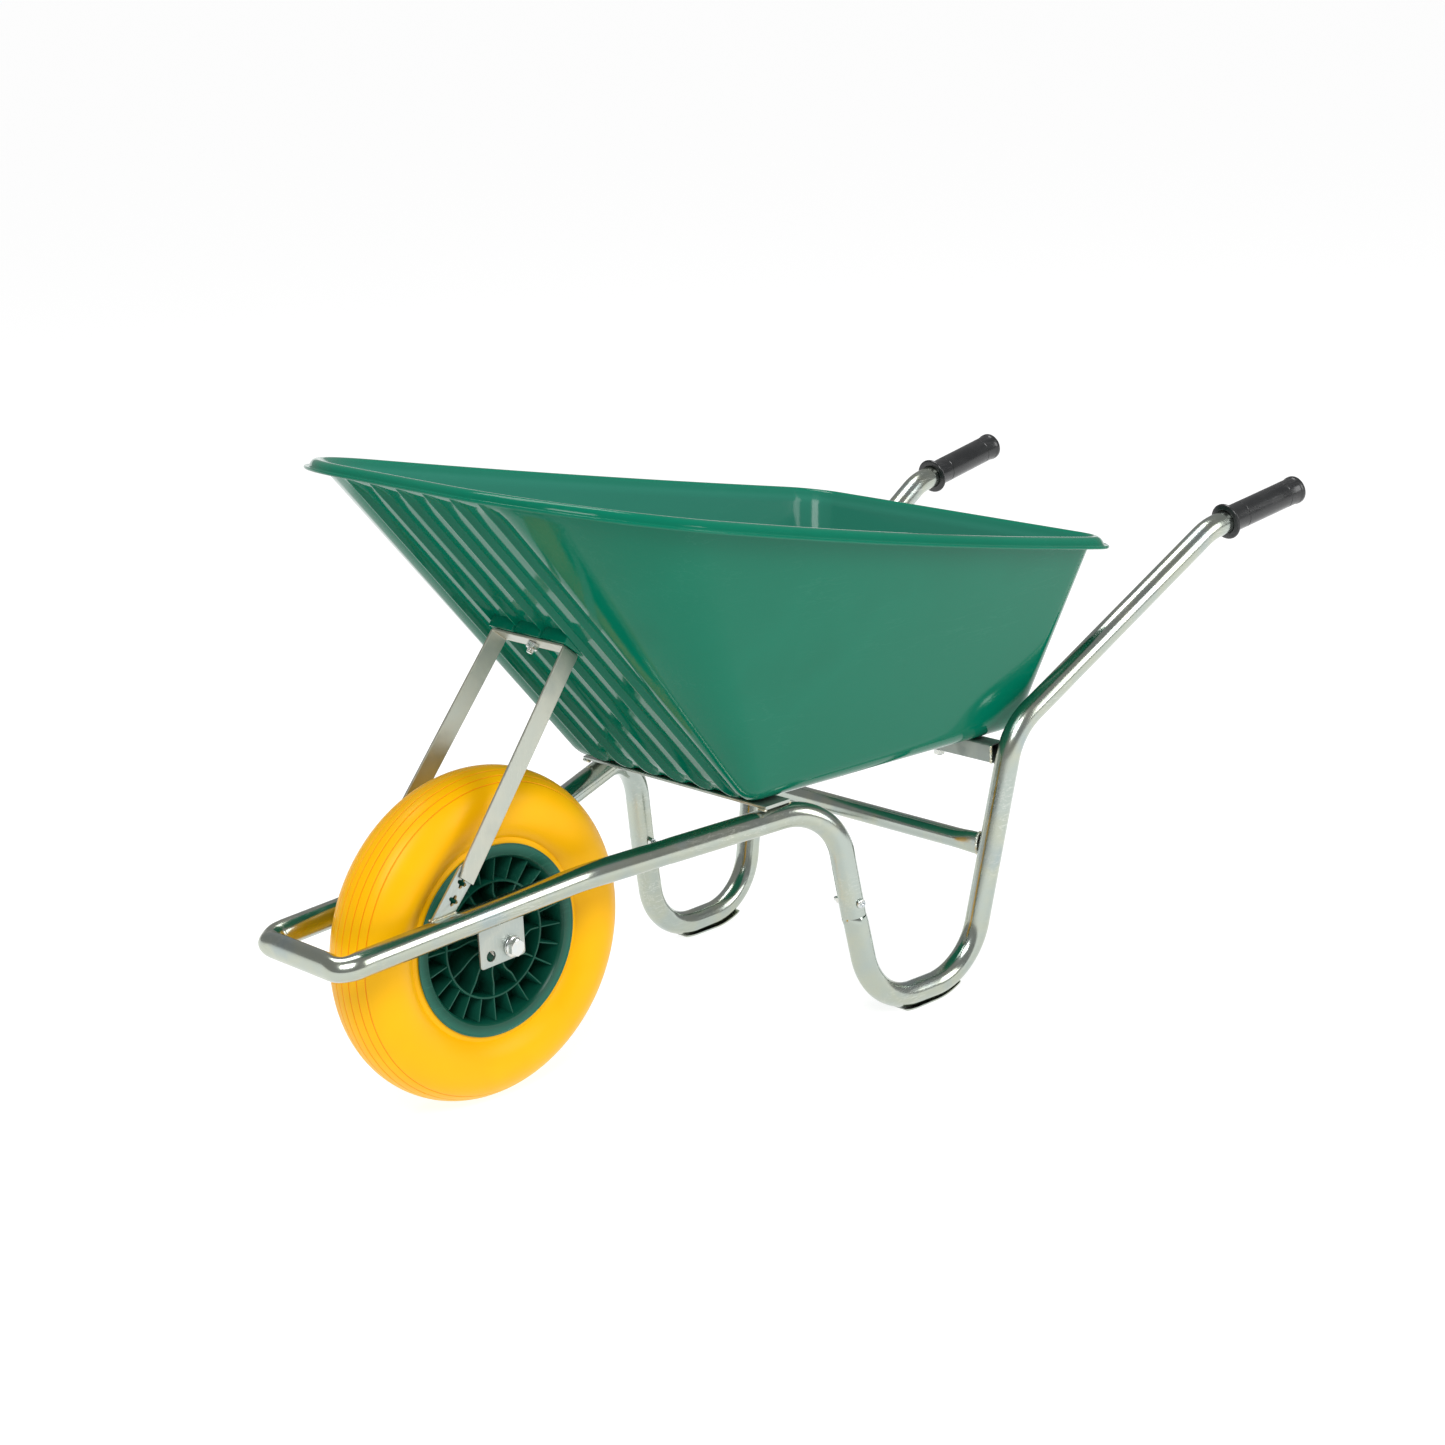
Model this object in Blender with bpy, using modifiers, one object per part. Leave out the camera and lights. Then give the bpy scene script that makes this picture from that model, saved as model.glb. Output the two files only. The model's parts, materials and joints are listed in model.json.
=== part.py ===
"""Wheelbarrow: plastic tray, two-part bent tube frame, front brace strap and a solid foam wheel.

Run with: blender --background --python part.py

Units are metres and +Z is up. X runs from the nose bar (-X) to the grips (+X), Y is the axle's
direction, and the left side is the operator's left (-Y). Every length along X is measured from the
axle, and the root empty then moves the whole object so that X = 0 is the middle of its length.
"""

import math

import bmesh
import bpy
from mathutils import Matrix, Vector

# Overall
NOSE_REACH = 0.2526  # axle to the front of the nose bar
GRIP_REACH = 1.1856  # axle to the end of the grips
GAP = 0.0003  # left between pieces that touch
WELD_ROOM = 0.0012  # between a cross tube's square end and the sloping upright
SIDES = ((-1, "left"), (1, "right"))

# Tube
TUBE_RADIUS = 0.015
TUBE_WALL = 0.0015
CROSS_TUBE_RADIUS = 0.0125
SQUARE_TUBE = 0.024
NECK_RADIUS = 0.0127  # the reduced end of a leg tube, inside the front frame's sleeve
NECK_LENGTH = 0.055

# Wheel
WHEEL_RADIUS = 0.1925
TYRE_HALF_WIDTH = 0.046
TYRE_HALF_HEIGHT = 0.0445
FLANGE_RADIUS = 0.111
FLANGE_Y = 0.0372
HUB_RADIUS = 0.0235
HUB_HALF = 0.0415
BEARING_RADIUS = 0.0138
SLEEVE_RADIUS = 0.0075
AXLE_RADIUS = 0.006
AXLE_HOLE = 0.0063
BRACKET_Y = 0.0607  # middle of the bracket's thickness
PLATE = 0.003

# Front frame centreline, right-hand half: (x, y, z)
NOSE_CORNER = (-0.2376, 0.0712, 0.2343)
RAIL_BEND = (0.0978, 0.0755, 0.2495)
CREST = (0.3985, 0.1740, 0.2842)
SLEEVE_END = (0.4185, 0.1840, 0.1400)

# Leg and handle centreline
LEG_DOWN = (0.4405, 0.1915, 0.0178)
LEG_UP = (0.6035, 0.1975, 0.0178)
HANDLE_LOW = (0.6705, 0.2170, 0.3160)
HANDLE_HIGH = (1.0160, 0.24888, 0.50556)
GRIP_START = (1.0490, 0.2513, 0.5104)
GRIP_END = (1.1840, 0.2612, 0.5302)
LEG_BEND = 0.080

# Tray, as seen from outside
FLOOR_Z = 0.2975
TRAY_WALL = 0.0035
TRAY_FILLET = 0.030
RIM_WIDTH = 0.0235  # wall to the tip of the lip
RIM_SLOPE = -0.2188
RIM_SAG = 0.0312
RIM_HEIGHT_AT_AXLE = 0.6987  # underside of the lip above the axle

# Brace: the strap and its tabs lie along one sloping line
BRACE_TOP = Vector((0.1085, 0.0, 0.5080))
BRACE_ALONG = Vector((0.6262, 0.0, 0.7797))
STRAP_WIDTH = 0.025
STRAP_LENGTH = 0.2800
TAB_Y = 0.0675
LUG_WIDTH = 0.132
LUG_DEPTH = 0.034

# Places of the fasteners
FRONT_BOLTS = (0.337, 0.085)
CROSS_PLATE = (0.325, 0.040)  # middle and width
REAR_BOLTS = (0.6612, 0.105)
SLEEVE_BOLT_UP = 0.017  # above the end of the sleeve


def clear_scene():
    for obj in list(bpy.data.objects):
        bpy.data.objects.remove(obj, do_unlink=True)


def make_collection(name, hidden=False):
    collection = bpy.data.collections.new(name)
    bpy.context.scene.collection.children.link(collection)
    collection.hide_render = hidden
    return collection


def make_material(name, colour, roughness, metallic=0.0):
    material = bpy.data.materials.new(name)
    material.use_nodes = True
    shader = material.node_tree.nodes["Principled BSDF"]
    shader.inputs["Base Color"].default_value = (*colour, 1.0)
    shader.inputs["Roughness"].default_value = roughness
    shader.inputs["Metallic"].default_value = metallic
    material.diffuse_color = (*colour, 1.0)
    return material


clear_scene()
PARTS = make_collection("wheelbarrow")
CUTTERS = make_collection("cutters", hidden=True)
ZINC = make_material("zinc_plated_steel", (0.62, 0.63, 0.60), 0.22, 1.0)
GALVANISED = make_material("galvanised_steel", (0.45, 0.48, 0.46), 0.45, 1.0)
GREEN = make_material("green_polypropylene", (0.007, 0.205, 0.127), 0.28)
DARK_GREEN = make_material("dark_green_plastic", (0.003, 0.092, 0.048), 0.42)
YELLOW = make_material("yellow_polyurethane", (1.0, 0.56, 0.002), 0.38)
BLACK = make_material("black_plastic", (0.012, 0.013, 0.014), 0.3)
NYLON = make_material("nylon", (0.75, 0.74, 0.70), 0.45)


def make_empty(name, location, parent=None):
    empty = bpy.data.objects.new(name, None)
    empty.location = location
    empty.parent = parent
    PARTS.objects.link(empty)
    return empty


ROOT = make_empty("wheelbarrow_root", ((NOSE_REACH - GRIP_REACH) / 2, 0, 0))
AXLE = make_empty("wheel_axle", (0, 0, WHEEL_RADIUS), ROOT)


def add_object(name, data, material, parent=ROOT):
    obj = bpy.data.objects.new(name, data)
    obj.parent = parent
    data.materials.append(material)
    PARTS.objects.link(obj)
    return obj


def hide_cutter(obj):
    obj.hide_render = True
    obj.display_type = "WIRE"
    return obj


def aim(obj, place, along):
    """Puts the object's origin at place, with its +Z along the given direction."""
    obj.location = place
    obj.rotation_mode = "QUATERNION"
    obj.rotation_quaternion = Vector(along).to_track_quat("Z", "Y")
    return obj


def boolean(obj, other, operation="DIFFERENCE"):
    modifier = obj.modifiers.new(operation.lower(), "BOOLEAN")
    modifier.operation = operation
    modifier.solver = "EXACT"
    modifier.object = other


def bar_mesh(name, radius, low, high, segments=16):
    """A straight bar of revolution about Z; six segments make a hexagon."""
    mesh = bpy.data.meshes.new(name)
    shape = bmesh.new()
    bmesh.ops.create_cone(
        shape, cap_ends=True, segments=segments, radius1=radius, radius2=radius, depth=high - low
    )
    bmesh.ops.translate(shape, vec=(0, 0, (high + low) / 2), verts=shape.verts)
    shape.to_mesh(mesh)
    shape.free()
    return mesh


def box_mesh(name, size):
    mesh = bpy.data.meshes.new(name)
    shape = bmesh.new()
    bmesh.ops.create_cube(shape, size=1.0)
    bmesh.ops.scale(shape, vec=size, verts=shape.verts)
    shape.to_mesh(mesh)
    shape.free()
    return mesh


def cutter(name, mesh, place=(0, 0, 0), along=(0, 0, 1), parent=ROOT):
    obj = bpy.data.objects.new(name, mesh)
    obj.parent = parent
    CUTTERS.objects.link(obj)
    return aim(hide_cutter(obj), place, along)


def drill(obj, place, along, radius, reach):
    """Cuts a round hole through obj, reaching the same distance both ways from place."""
    name = f"{obj.name}_hole_{len(obj.modifiers)}"
    boolean(obj, cutter(name, bar_mesh(name, radius, -reach, reach), place, along))


def rounded_path(corners, step=math.radians(13)):
    """Turns (point, bend radius) corners into points, with each bend as an arc."""
    points = [Vector(corners[0][0])]
    for (before, _), (corner, radius), (after, _) in zip(corners, corners[1:], corners[2:]):
        corner = Vector(corner)
        back = (Vector(before) - corner).normalized()
        ahead = (Vector(after) - corner).normalized()
        turn = math.pi - back.angle(ahead)
        tangent = radius * math.tan(turn / 2)
        middle = corner + (back + ahead).normalized() * radius / math.cos(turn / 2)
        start = corner + back * tangent - middle
        axis = back.cross(ahead)
        count = max(2, math.ceil(turn / step))
        for index in range(count + 1):
            turned = Matrix.Rotation(-turn * index / count, 3, axis) @ start
            points.append(middle + turned)
    points.append(Vector(corners[-1][0]))
    return points


def bend_end(before, corner, after, radius):
    """Where the bend at corner ends, on the way to the next corner."""
    back, ahead = Vector(before) - Vector(corner), Vector(after) - Vector(corner)
    return Vector(corner) + ahead.normalized() * radius * math.tan((math.pi - back.angle(ahead)) / 2)


def mirrored(corners):
    """The left-hand half of a path given for the right-hand side."""
    return [((x, -y, z), radius) for (x, y, z), radius in corners]


def tube_object(name, points, radius, material, wall=None, radii=None, round_steps=4):
    """A round tube along points. With a wall it is hollow and open at both ends."""
    curve = bpy.data.curves.new(name, "CURVE")
    curve.dimensions = "3D"
    curve.bevel_depth = radius
    curve.bevel_resolution = round_steps
    curve.use_fill_caps = wall is None
    spline = curve.splines.new("POLY")
    spline.points.add(len(points) - 1)
    for index, point in enumerate(points):
        spline.points[index].co = (*point, 1)
        spline.points[index].radius = radii[index] if radii else 1.0
    swept = bpy.data.objects.new(name + "_sweep", curve)
    mesh = bpy.data.meshes.new_from_object(swept)
    bpy.data.objects.remove(swept)
    weld_seams(mesh)
    obj = add_object(name, mesh, material)
    if wall:
        shell = obj.modifiers.new("wall", "SOLIDIFY")
        shell.thickness = wall
        shell.offset = -1.0
        shell.use_even_offset = True
    return obj


def weld_seams(mesh):
    shape = bmesh.new()
    shape.from_mesh(mesh)
    bmesh.ops.remove_doubles(shape, verts=shape.verts, dist=0.00001)
    bmesh.ops.recalc_face_normals(shape, faces=shape.faces)
    shape.to_mesh(mesh)
    shape.free()


def turned(name, profile, material, parent=ROOT, steps=32, closed=True):
    """Turns a profile of (radius, height) about Z. It runs clockwise, so the faces point out."""
    pairs = zip(profile, profile[1:] + profile[:1])
    if sum(a[0] * b[1] - b[0] * a[1] for a, b in pairs) > 0:
        profile = profile[::-1]
    shape = bmesh.new()
    verts = [shape.verts.new((radius, 0, height)) for radius, height in profile]
    for first, second in zip(verts, verts[1:]):
        shape.edges.new((first, second))
    if closed:
        shape.edges.new((verts[-1], verts[0]))
    mesh = bpy.data.meshes.new(name)
    shape.to_mesh(mesh)
    shape.free()
    obj = add_object(name, mesh, material, parent)
    screw = obj.modifiers.new("turn", "SCREW")
    screw.steps = screw.render_steps = steps
    screw.use_merge_vertices = True
    screw.merge_threshold = 0.00001
    return obj


def outline_curve(name, outline, thickness, holes=()):
    curve = bpy.data.curves.new(name, "CURVE")
    curve.dimensions = "2D"
    curve.fill_mode = "BOTH"
    curve.extrude = thickness / 2
    for loop in (outline, *holes):
        spline = curve.splines.new("POLY")
        spline.points.add(len(loop) - 1)
        for point, (x, y) in zip(spline.points, loop):
            point.co = (x, y, 0, 1)
        spline.use_cyclic_u = True
    return curve


def outline_mesh(name, outline, thickness):
    """The same flat shape as a mesh, for pieces that are cut or joined."""
    flat = bpy.data.objects.new(name, outline_curve(name, outline, thickness))
    mesh = bpy.data.meshes.new_from_object(flat)
    bpy.data.objects.remove(flat)
    weld_seams(mesh)
    return mesh


def flat_plate(name, outline, thickness, material, holes=()):
    """A flat outline in local XY with holes through it, centred on its thickness."""
    return add_object(name, outline_curve(name, outline, thickness, holes), material)


def ring_points(centre, radii, count):
    """Points round a centre; several radii in turn make a star."""
    return [
        (
            centre[0] + radii[index % len(radii)] * math.cos(2 * math.pi * index / count),
            centre[1] + radii[index % len(radii)] * math.sin(2 * math.pi * index / count),
        )
        for index in range(count)
    ]


def stand_in_xz(obj, y):
    """Turns a flat plate so that its X and Y become the object's X and Z."""
    obj.rotation_euler = (math.radians(90), 0, 0)
    obj.location.y = y
    return obj


def bolt(name, place, along, shank, length, head, head_height, sides=16, material=ZINC):
    """A bolt whose head rests on place and whose shank runs along the direction."""
    obj = add_object(name, bar_mesh(name, head, -head_height, 0, sides), material)
    aim(obj, place, along)
    shaft = cutter(name + "_shank", bar_mesh(name + "_shank", shank, -head_height / 2, length))
    aim(shaft, place, along)
    boolean(obj, shaft, "UNION")
    return obj


def ring(name, place, along, outer, bore, height, sides=16, material=ZINC):
    """A washer, spacer or nut standing on place: a bar with a hole."""
    obj = add_object(name, bar_mesh(name, outer, 0, height, sides), material)
    aim(obj, place, along)
    hole = cutter(name + "_bore", bar_mesh(name + "_bore", bore, -height, 2 * height))
    aim(hole, place, along)
    boolean(obj, hole)
    return obj


def along_line(start, end, distance):
    start, end = Vector(start), Vector(end)
    return start + (end - start).normalized() * distance


def side_point(point, side):
    return Vector((point[0], side * point[1], point[2]))


# ---------------------------------------------------------------- tray


def tray_outline(front, rear, front_half, rear_half, bow, front_radius, rear_radius):
    """Plan outline: straight ends, slightly bowed sides and rounded corners."""

    def side_y(x):
        run = (x - front) / (rear - front)
        return front_half + (rear_half - front_half) * run + bow * 4 * run * (1 - run)

    def corner(first, tip, last, count):
        handle = 0.5523
        inner, outer = first.lerp(tip, handle), last.lerp(tip, handle)
        for index in range(count + 1):
            t = index / count
            weights = ((1 - t) ** 3, 3 * (1 - t) ** 2 * t, 3 * (1 - t) * t**2, t**3)
            yield sum((p * w for p, w in zip((first, inner, outer, last), weights)), Vector((0, 0)))

    front_start = Vector((front, front_half - front_radius))
    front_end = Vector((front + front_radius, side_y(front + front_radius)))
    rear_start = Vector((rear - rear_radius, side_y(rear - rear_radius)))
    rear_end = Vector((rear, rear_half - rear_radius))
    half = [Vector((front, 0)), front_start / 2 + Vector((front / 2, 0))]
    half += corner(front_start, Vector((front, front_half)), front_end, 7)
    for index in range(1, 5):
        x = front_end.x + (rear_start.x - front_end.x) * index / 5
        half.append(Vector((x, side_y(x))))
    half += corner(rear_start, Vector((rear, rear_half)), rear_end, 5)
    half += [Vector((rear, rear_end.y / 2)), Vector((rear, 0))]
    return half + [Vector((point.x, -point.y)) for point in reversed(half[1:-1])]


def floor_outline(inset=0.0):
    return tray_outline(
        0.292 + inset,
        0.735 - inset,
        0.1525 - inset,
        0.190 - inset,
        0.0,
        max(0.020 - inset, 0.006),
        max(0.045 - inset, 0.010),
    )


def rim_outline(out=0.0):
    return tray_outline(
        -0.0545 - out, 0.8075 + out, 0.2590 + out, 0.2430 + out, 0.0258, 0.1745 + out, 0.0395 + out
    )


def rim_z(x):
    """Height of the underside of the lip, which sags a little between its ends."""
    ends = [point.x for point in rim_outline(RIM_WIDTH)]
    sag = RIM_SAG * (x - min(ends)) * (x - max(ends))
    return RIM_HEIGHT_AT_AXLE + RIM_SLOPE * x + sag


def tray_rings():
    """Rings of points up the outside of the tray, from the floor to the tip of the lip."""
    corners = [Vector((*p, FLOOR_Z)) for p in floor_outline()]
    inner = [Vector((*p, FLOOR_Z)) for p in floor_outline(TRAY_FILLET)]
    tops = [Vector((*p, rim_z(p.x))) for p in rim_outline()]
    rings = []
    for index in range(5):
        t = index / 4
        ring_here = []
        for corner, inside, top in zip(corners, inner, tops):
            raised = along_line(corner, top, TRAY_FILLET)
            ring_here.append(inside.lerp(corner, t).lerp(corner.lerp(raised, t), t))
        rings.append(ring_here)
    for part in (0.5, 1.0):
        start = rings[4]
        rings.append([a.lerp(b, part) for a, b in zip(start, tops)])
    crown = [(0.0008, 0.0045), (0.0037, 0.0082), (0.0078, 0.0095), (0.0120, 0.0080)]
    for out, up in crown + [(0.0148, 0.0030), (0.0155, 0.0), (RIM_WIDTH, 0.0)]:
        rings.append([Vector((*p, rim_z(p.x) + up)) for p in rim_outline(out)])
    return rings


def make_tray():
    shape = bmesh.new()
    loops = []
    for points in tray_rings():
        verts = [shape.verts.new(point) for point in points]
        loops.append([shape.edges.new((a, b)) for a, b in zip(verts, verts[1:] + verts[:1])])
    bmesh.ops.edgeloop_fill(shape, edges=loops[0])
    for lower, upper in zip(loops, loops[1:]):
        bmesh.ops.bridge_loops(shape, edges=lower + upper)
    bmesh.ops.recalc_face_normals(shape, faces=shape.faces)
    shape.faces.ensure_lookup_table()
    if shape.faces[0].normal.z > 0:  # the floor faces down, so the wall's thickness goes inwards
        bmesh.ops.reverse_faces(shape, faces=shape.faces)
    mesh = bpy.data.meshes.new("tray")
    shape.to_mesh(mesh)
    shape.free()
    tray = add_object("tray", mesh, GREEN)
    shell = tray.modifiers.new("wall", "SOLIDIFY")
    shell.thickness = TRAY_WALL
    shell.offset = -1.0
    shell.use_even_offset = True
    add_brace_lug(tray)
    for x, y in (FRONT_BOLTS, REAR_BOLTS):
        for side, _ in SIDES:
            drill(tray, (x, side * y, FLOOR_Z), (0, 0, 1), 0.0043, 0.02)
    return tray


def add_brace_lug(tray):
    """A wedge under the front panel that the brace is bolted to, and a round seat inside."""
    rim_x = rim_outline()[0].x
    foot, top = Vector((floor_outline()[0].x, 0, FLOOR_Z)), Vector((rim_x, 0, rim_z(rim_x)))
    inwards = Vector((0, 1, 0)).cross(top - foot).normalized()
    middle = foot + inwards * TRAY_WALL / 2
    across = BRACE_ALONG.cross(Vector((0, 1, 0)))
    seat = BRACE_TOP + BRACE_ALONG * (PLATE / 2 + GAP)
    low = [seat + across * reach for reach in (-LUG_DEPTH / 2, LUG_DEPTH / 2)]
    rise = [(middle - point).dot(inwards) / BRACE_ALONG.dot(inwards) for point in low]
    high = [point + BRACE_ALONG * up for point, up in zip(low, rise)]
    outline = [(point.x, point.z) for point in (*low, *reversed(high))]
    wedge = cutter("lug_wedge", outline_mesh("lug_wedge", outline, LUG_WIDTH))
    wedge.rotation_mode = "XYZ"
    stand_in_xz(wedge, 0)
    boolean(tray, wedge, "UNION")
    seat = cutter("lug_seat", bar_mesh("lug_seat", 0.013, 0.006, 0.0135), BRACE_TOP, BRACE_ALONG)
    boolean(tray, seat, "UNION")
    drill(tray, BRACE_TOP, BRACE_ALONG, 0.0043, 0.04)


# ---------------------------------------------------------------- frame


def make_front_frame():
    """One tube from the left sleeve round the nose bar to the right sleeve."""
    half = [
        (SLEEVE_END, 0),
        (CREST, 0.070),
        (RAIL_BEND, 0.120),
        (NOSE_CORNER, 0.024),
    ]
    points = rounded_path(half + mirrored(reversed(half)))
    frame = tube_object("front_frame", points, TUBE_RADIUS, ZINC, TUBE_WALL)
    for side, _ in SIDES:
        drill(frame, sleeve_bolt_place(side), outwards(side), 0.0033, 0.03)


def sleeve_bolt_place(side):
    return along_line(side_point(SLEEVE_END, side), side_point(CREST, side), SLEEVE_BOLT_UP)


def outwards(side):
    """Sideways from the sleeve, square to it."""
    along = (side_point(CREST, side) - side_point(SLEEVE_END, side)).normalized()
    sideways = Vector((0, side, 0))
    return (sideways - along * sideways.dot(along)).normalized()


def make_leg_tube(side, name):
    """Leg loop and handle in one tube, with a reduced neck inside the front frame's sleeve."""
    top = side_point(SLEEVE_END, side)
    crest = side_point(CREST, side)
    leg = [
        (along_line(top, crest, NECK_LENGTH), 0),
        (side_point(LEG_DOWN, side), LEG_BEND),
        (side_point(LEG_UP, side), LEG_BEND),
        (side_point(HANDLE_LOW, side), 0.080),
        (side_point(HANDLE_HIGH, side), 0.080),
        (along_line(side_point(GRIP_END, side), side_point(GRIP_START, side), 0.004), 0),
    ]
    points = rounded_path(leg)
    shoulder = [along_line(top, crest, -0.0005), along_line(top, crest, -0.0025)]
    points[1:1] = shoulder
    neck = NECK_RADIUS / TUBE_RADIUS
    radii = [neck, neck] + [1.0] * (len(points) - 2)
    tube = tube_object(f"leg_handle_tube_{name}", points, TUBE_RADIUS, ZINC, TUBE_WALL, radii)
    drill(tube, sleeve_bolt_place(side), outwards(side), 0.0033, 0.03)


def make_sleeve_fasteners(side, name):
    out = outwards(side)
    outside = sleeve_bolt_place(side) + out * (TUBE_RADIUS + GAP)
    bolt(f"sleeve_bolt_{name}", outside, -out, 0.003, 0.042, 0.006, 0.0038)
    inside = sleeve_bolt_place(side) - out * (TUBE_RADIUS + GAP)
    ring(f"sleeve_nut_{name}", inside, -out, 0.0058, 0.0033, 0.005, 6)


def upright_at(z):
    """Centre of the right-hand upright at height z."""
    low, high = Vector(LEG_UP), Vector(HANDLE_LOW)
    return low.lerp(high, (z - low.z) / (high.z - low.z))


def make_cross_members():
    plate_z = FLOOR_Z - GAP - 0.002
    plate = add_object("front_cross_plate", box_mesh("plate", (CROSS_PLATE[1], 0.318, 0.004)), GALVANISED)
    plate.location = (CROSS_PLATE[0], 0, plate_z)
    square_z = FLOOR_Z - GAP - SQUARE_TUBE / 2
    centre = upright_at(square_z)
    length = 2 * (centre.y - TUBE_RADIUS - WELD_ROOM)
    square = add_object(
        "rear_cross_tube", box_mesh("square", (SQUARE_TUBE, length, SQUARE_TUBE)), GALVANISED
    )
    square.location = (centre.x, 0, square_z)
    hollow = SQUARE_TUBE - 2 * TUBE_WALL
    inside = box_mesh("square_inside", (hollow, length + 0.01, hollow))
    boolean(square, cutter("square_inside", inside, square.location))
    for member, (x, y) in ((plate, FRONT_BOLTS), (square, REAR_BOLTS)):
        for side, _ in SIDES:
            drill(member, (x, side * y, FLOOR_Z), (0, 0, 1), 0.0043, 0.04)
    centre = upright_at(0.172)
    end_y = centre.y - TUBE_RADIUS - WELD_ROOM
    ends = [(centre.x, side * end_y, centre.z) for side, _ in SIDES]
    tube_object("lower_cross_tube", ends, CROSS_TUBE_RADIUS, ZINC, TUBE_WALL)


def rail_z(x):
    run = (x - NOSE_CORNER[0]) / (RAIL_BEND[0] - NOSE_CORNER[0])
    return NOSE_CORNER[2] + run * (RAIL_BEND[2] - NOSE_CORNER[2])


def make_axle_bracket(side, name):
    """A flat plate under the rail, with the axle's hole and a spare one ahead of it."""
    top = [(x, rail_z(x) - 0.0092) for x in (-0.0445, 0.0165)]
    outline = [(-0.0455, 0.1795), (-0.0425, 0.1765), (0.0150, 0.1790), (0.0180, 0.1820)]
    outline += [(0.0178, top[1][1] - 0.012), top[1], top[0], (-0.0460, top[0][1] - 0.012)]
    holes = [ring_points(at, (AXLE_HOLE,), 24) for at in ((0, WHEEL_RADIUS), (-0.0305, 0.1890))]
    bracket = flat_plate(f"axle_bracket_{name}", outline, PLATE, GALVANISED, holes)
    stand_in_xz(bracket, side * BRACKET_Y)


def make_leg_shoe(side, name):
    """A curved wear strip under the leg loop; its underside is what stands on the ground."""
    thick, width = 0.0022, 0.020
    centre_z = LEG_DOWN[2] + LEG_BEND
    low_x = bend_end(SLEEVE_END, LEG_DOWN, LEG_UP, LEG_BEND).x
    high_x = bend_end(HANDLE_LOW, LEG_UP, LEG_DOWN, LEG_BEND).x
    outline = []
    for reach, order in ((thick, 1), (0, -1)):
        radius = LEG_BEND + TUBE_RADIUS + 2 * GAP + reach
        arc = []
        for centre_x, degrees in ((low_x, (-14, -7, 0)), (high_x, (0, 9, 18, 27))):
            for angle in map(math.radians, degrees):
                x = centre_x + radius * math.sin(angle)
                arc.append((x, centre_z - radius * math.cos(angle)))
        outline += arc[::order]
    shoe = flat_plate(f"leg_shoe_{name}", outline, width, ZINC)
    low, high = Vector(LEG_DOWN), Vector(LEG_UP)
    middle = low.lerp(high, 0.5)
    stand_in_xz(shoe, side * middle.y)
    shoe.location.z = -shoe_lowest(outline)


def shoe_lowest(outline):
    return min(z for _, z in outline)


# ---------------------------------------------------------------- brace


def make_brace_tab(side, name):
    """A slotted tab welded upright on the rail, in line with the strap."""
    lean = math.atan2(BRACE_ALONG.z, BRACE_ALONG.x)
    foot = BRACE_TOP - BRACE_ALONG * 0.3290
    half = STRAP_WIDTH / 2

    def at(along, across):
        x = foot.x + along * math.cos(lean) - across * math.sin(lean)
        return (x, foot.z + along * math.sin(lean) + across * math.cos(lean))

    top = [at(0.060, -half), at(0.066, -half + 0.007), at(0.066, half - 0.007), at(0.060, half)]
    feet = [foot.x - half / math.sin(lean), foot.x + half / math.sin(lean)]
    outline = [(x, rail_z(x) + 0.0149) for x in feet] + top
    slots = []
    for distance in (0.024, 0.045):
        star = ring_points((0, 0), (0.0068, 0.0036), 8)
        slots.append([at(distance + a, b) for a, b in star])
    tab = flat_plate(f"brace_tab_{name}", outline, PLATE, GALVANISED, slots)
    stand_in_xz(tab, side * TAB_Y)


def make_front_brace():
    """A flat strap bent to a U: the cross-piece under the tray's lug and a leg to each tab."""
    top_half = 0.0630
    foot_half = TAB_Y + PLATE / 2 + PLATE + 4 * GAP
    end = STRAP_LENGTH
    corner = 0.004
    outer = [(-end, foot_half), (PLATE / 2 - corner, top_half), (PLATE / 2, top_half - corner)]
    inner = [(-PLATE / 2, top_half - PLATE - 0.001), (-PLATE / 2 - 0.001, top_half - PLATE)]
    inner.append((-end, foot_half - PLATE))
    right = outer + inner
    left = [(along, -across) for along, across in right]
    outline = [(across, along) for along, across in right[:3]]
    outline += [(across, along) for along, across in reversed(left[:3])]
    outline += [(across, along) for along, across in reversed(left[3:])]
    outline += [(across, along) for along, across in right[3:]]
    strap = add_object("front_brace", outline_mesh("strap", outline, STRAP_WIDTH), GALVANISED)
    across = Vector((0, 1, 0))
    turn = Matrix((across, BRACE_ALONG, across.cross(BRACE_ALONG))).transposed()
    strap.location = BRACE_TOP
    strap.rotation_euler = turn.to_euler()
    drill(strap, BRACE_TOP, BRACE_ALONG, 0.0043, 0.02)


def make_brace_fasteners():
    seat = BRACE_TOP + BRACE_ALONG * (0.0135 + GAP)
    ring("brace_washer", seat, BRACE_ALONG, 0.010, 0.0043, 0.0016)
    head = seat + BRACE_ALONG * (0.0016 + GAP)
    bolt("brace_bolt", head, -BRACE_ALONG, 0.004, 0.0295, 0.0085, 0.0045)
    under = BRACE_TOP - BRACE_ALONG * (PLATE / 2 + GAP)
    ring("brace_nut", under, -BRACE_ALONG, 0.0075, 0.0043, 0.0065, 6)


# ---------------------------------------------------------------- wheel and axle


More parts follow.
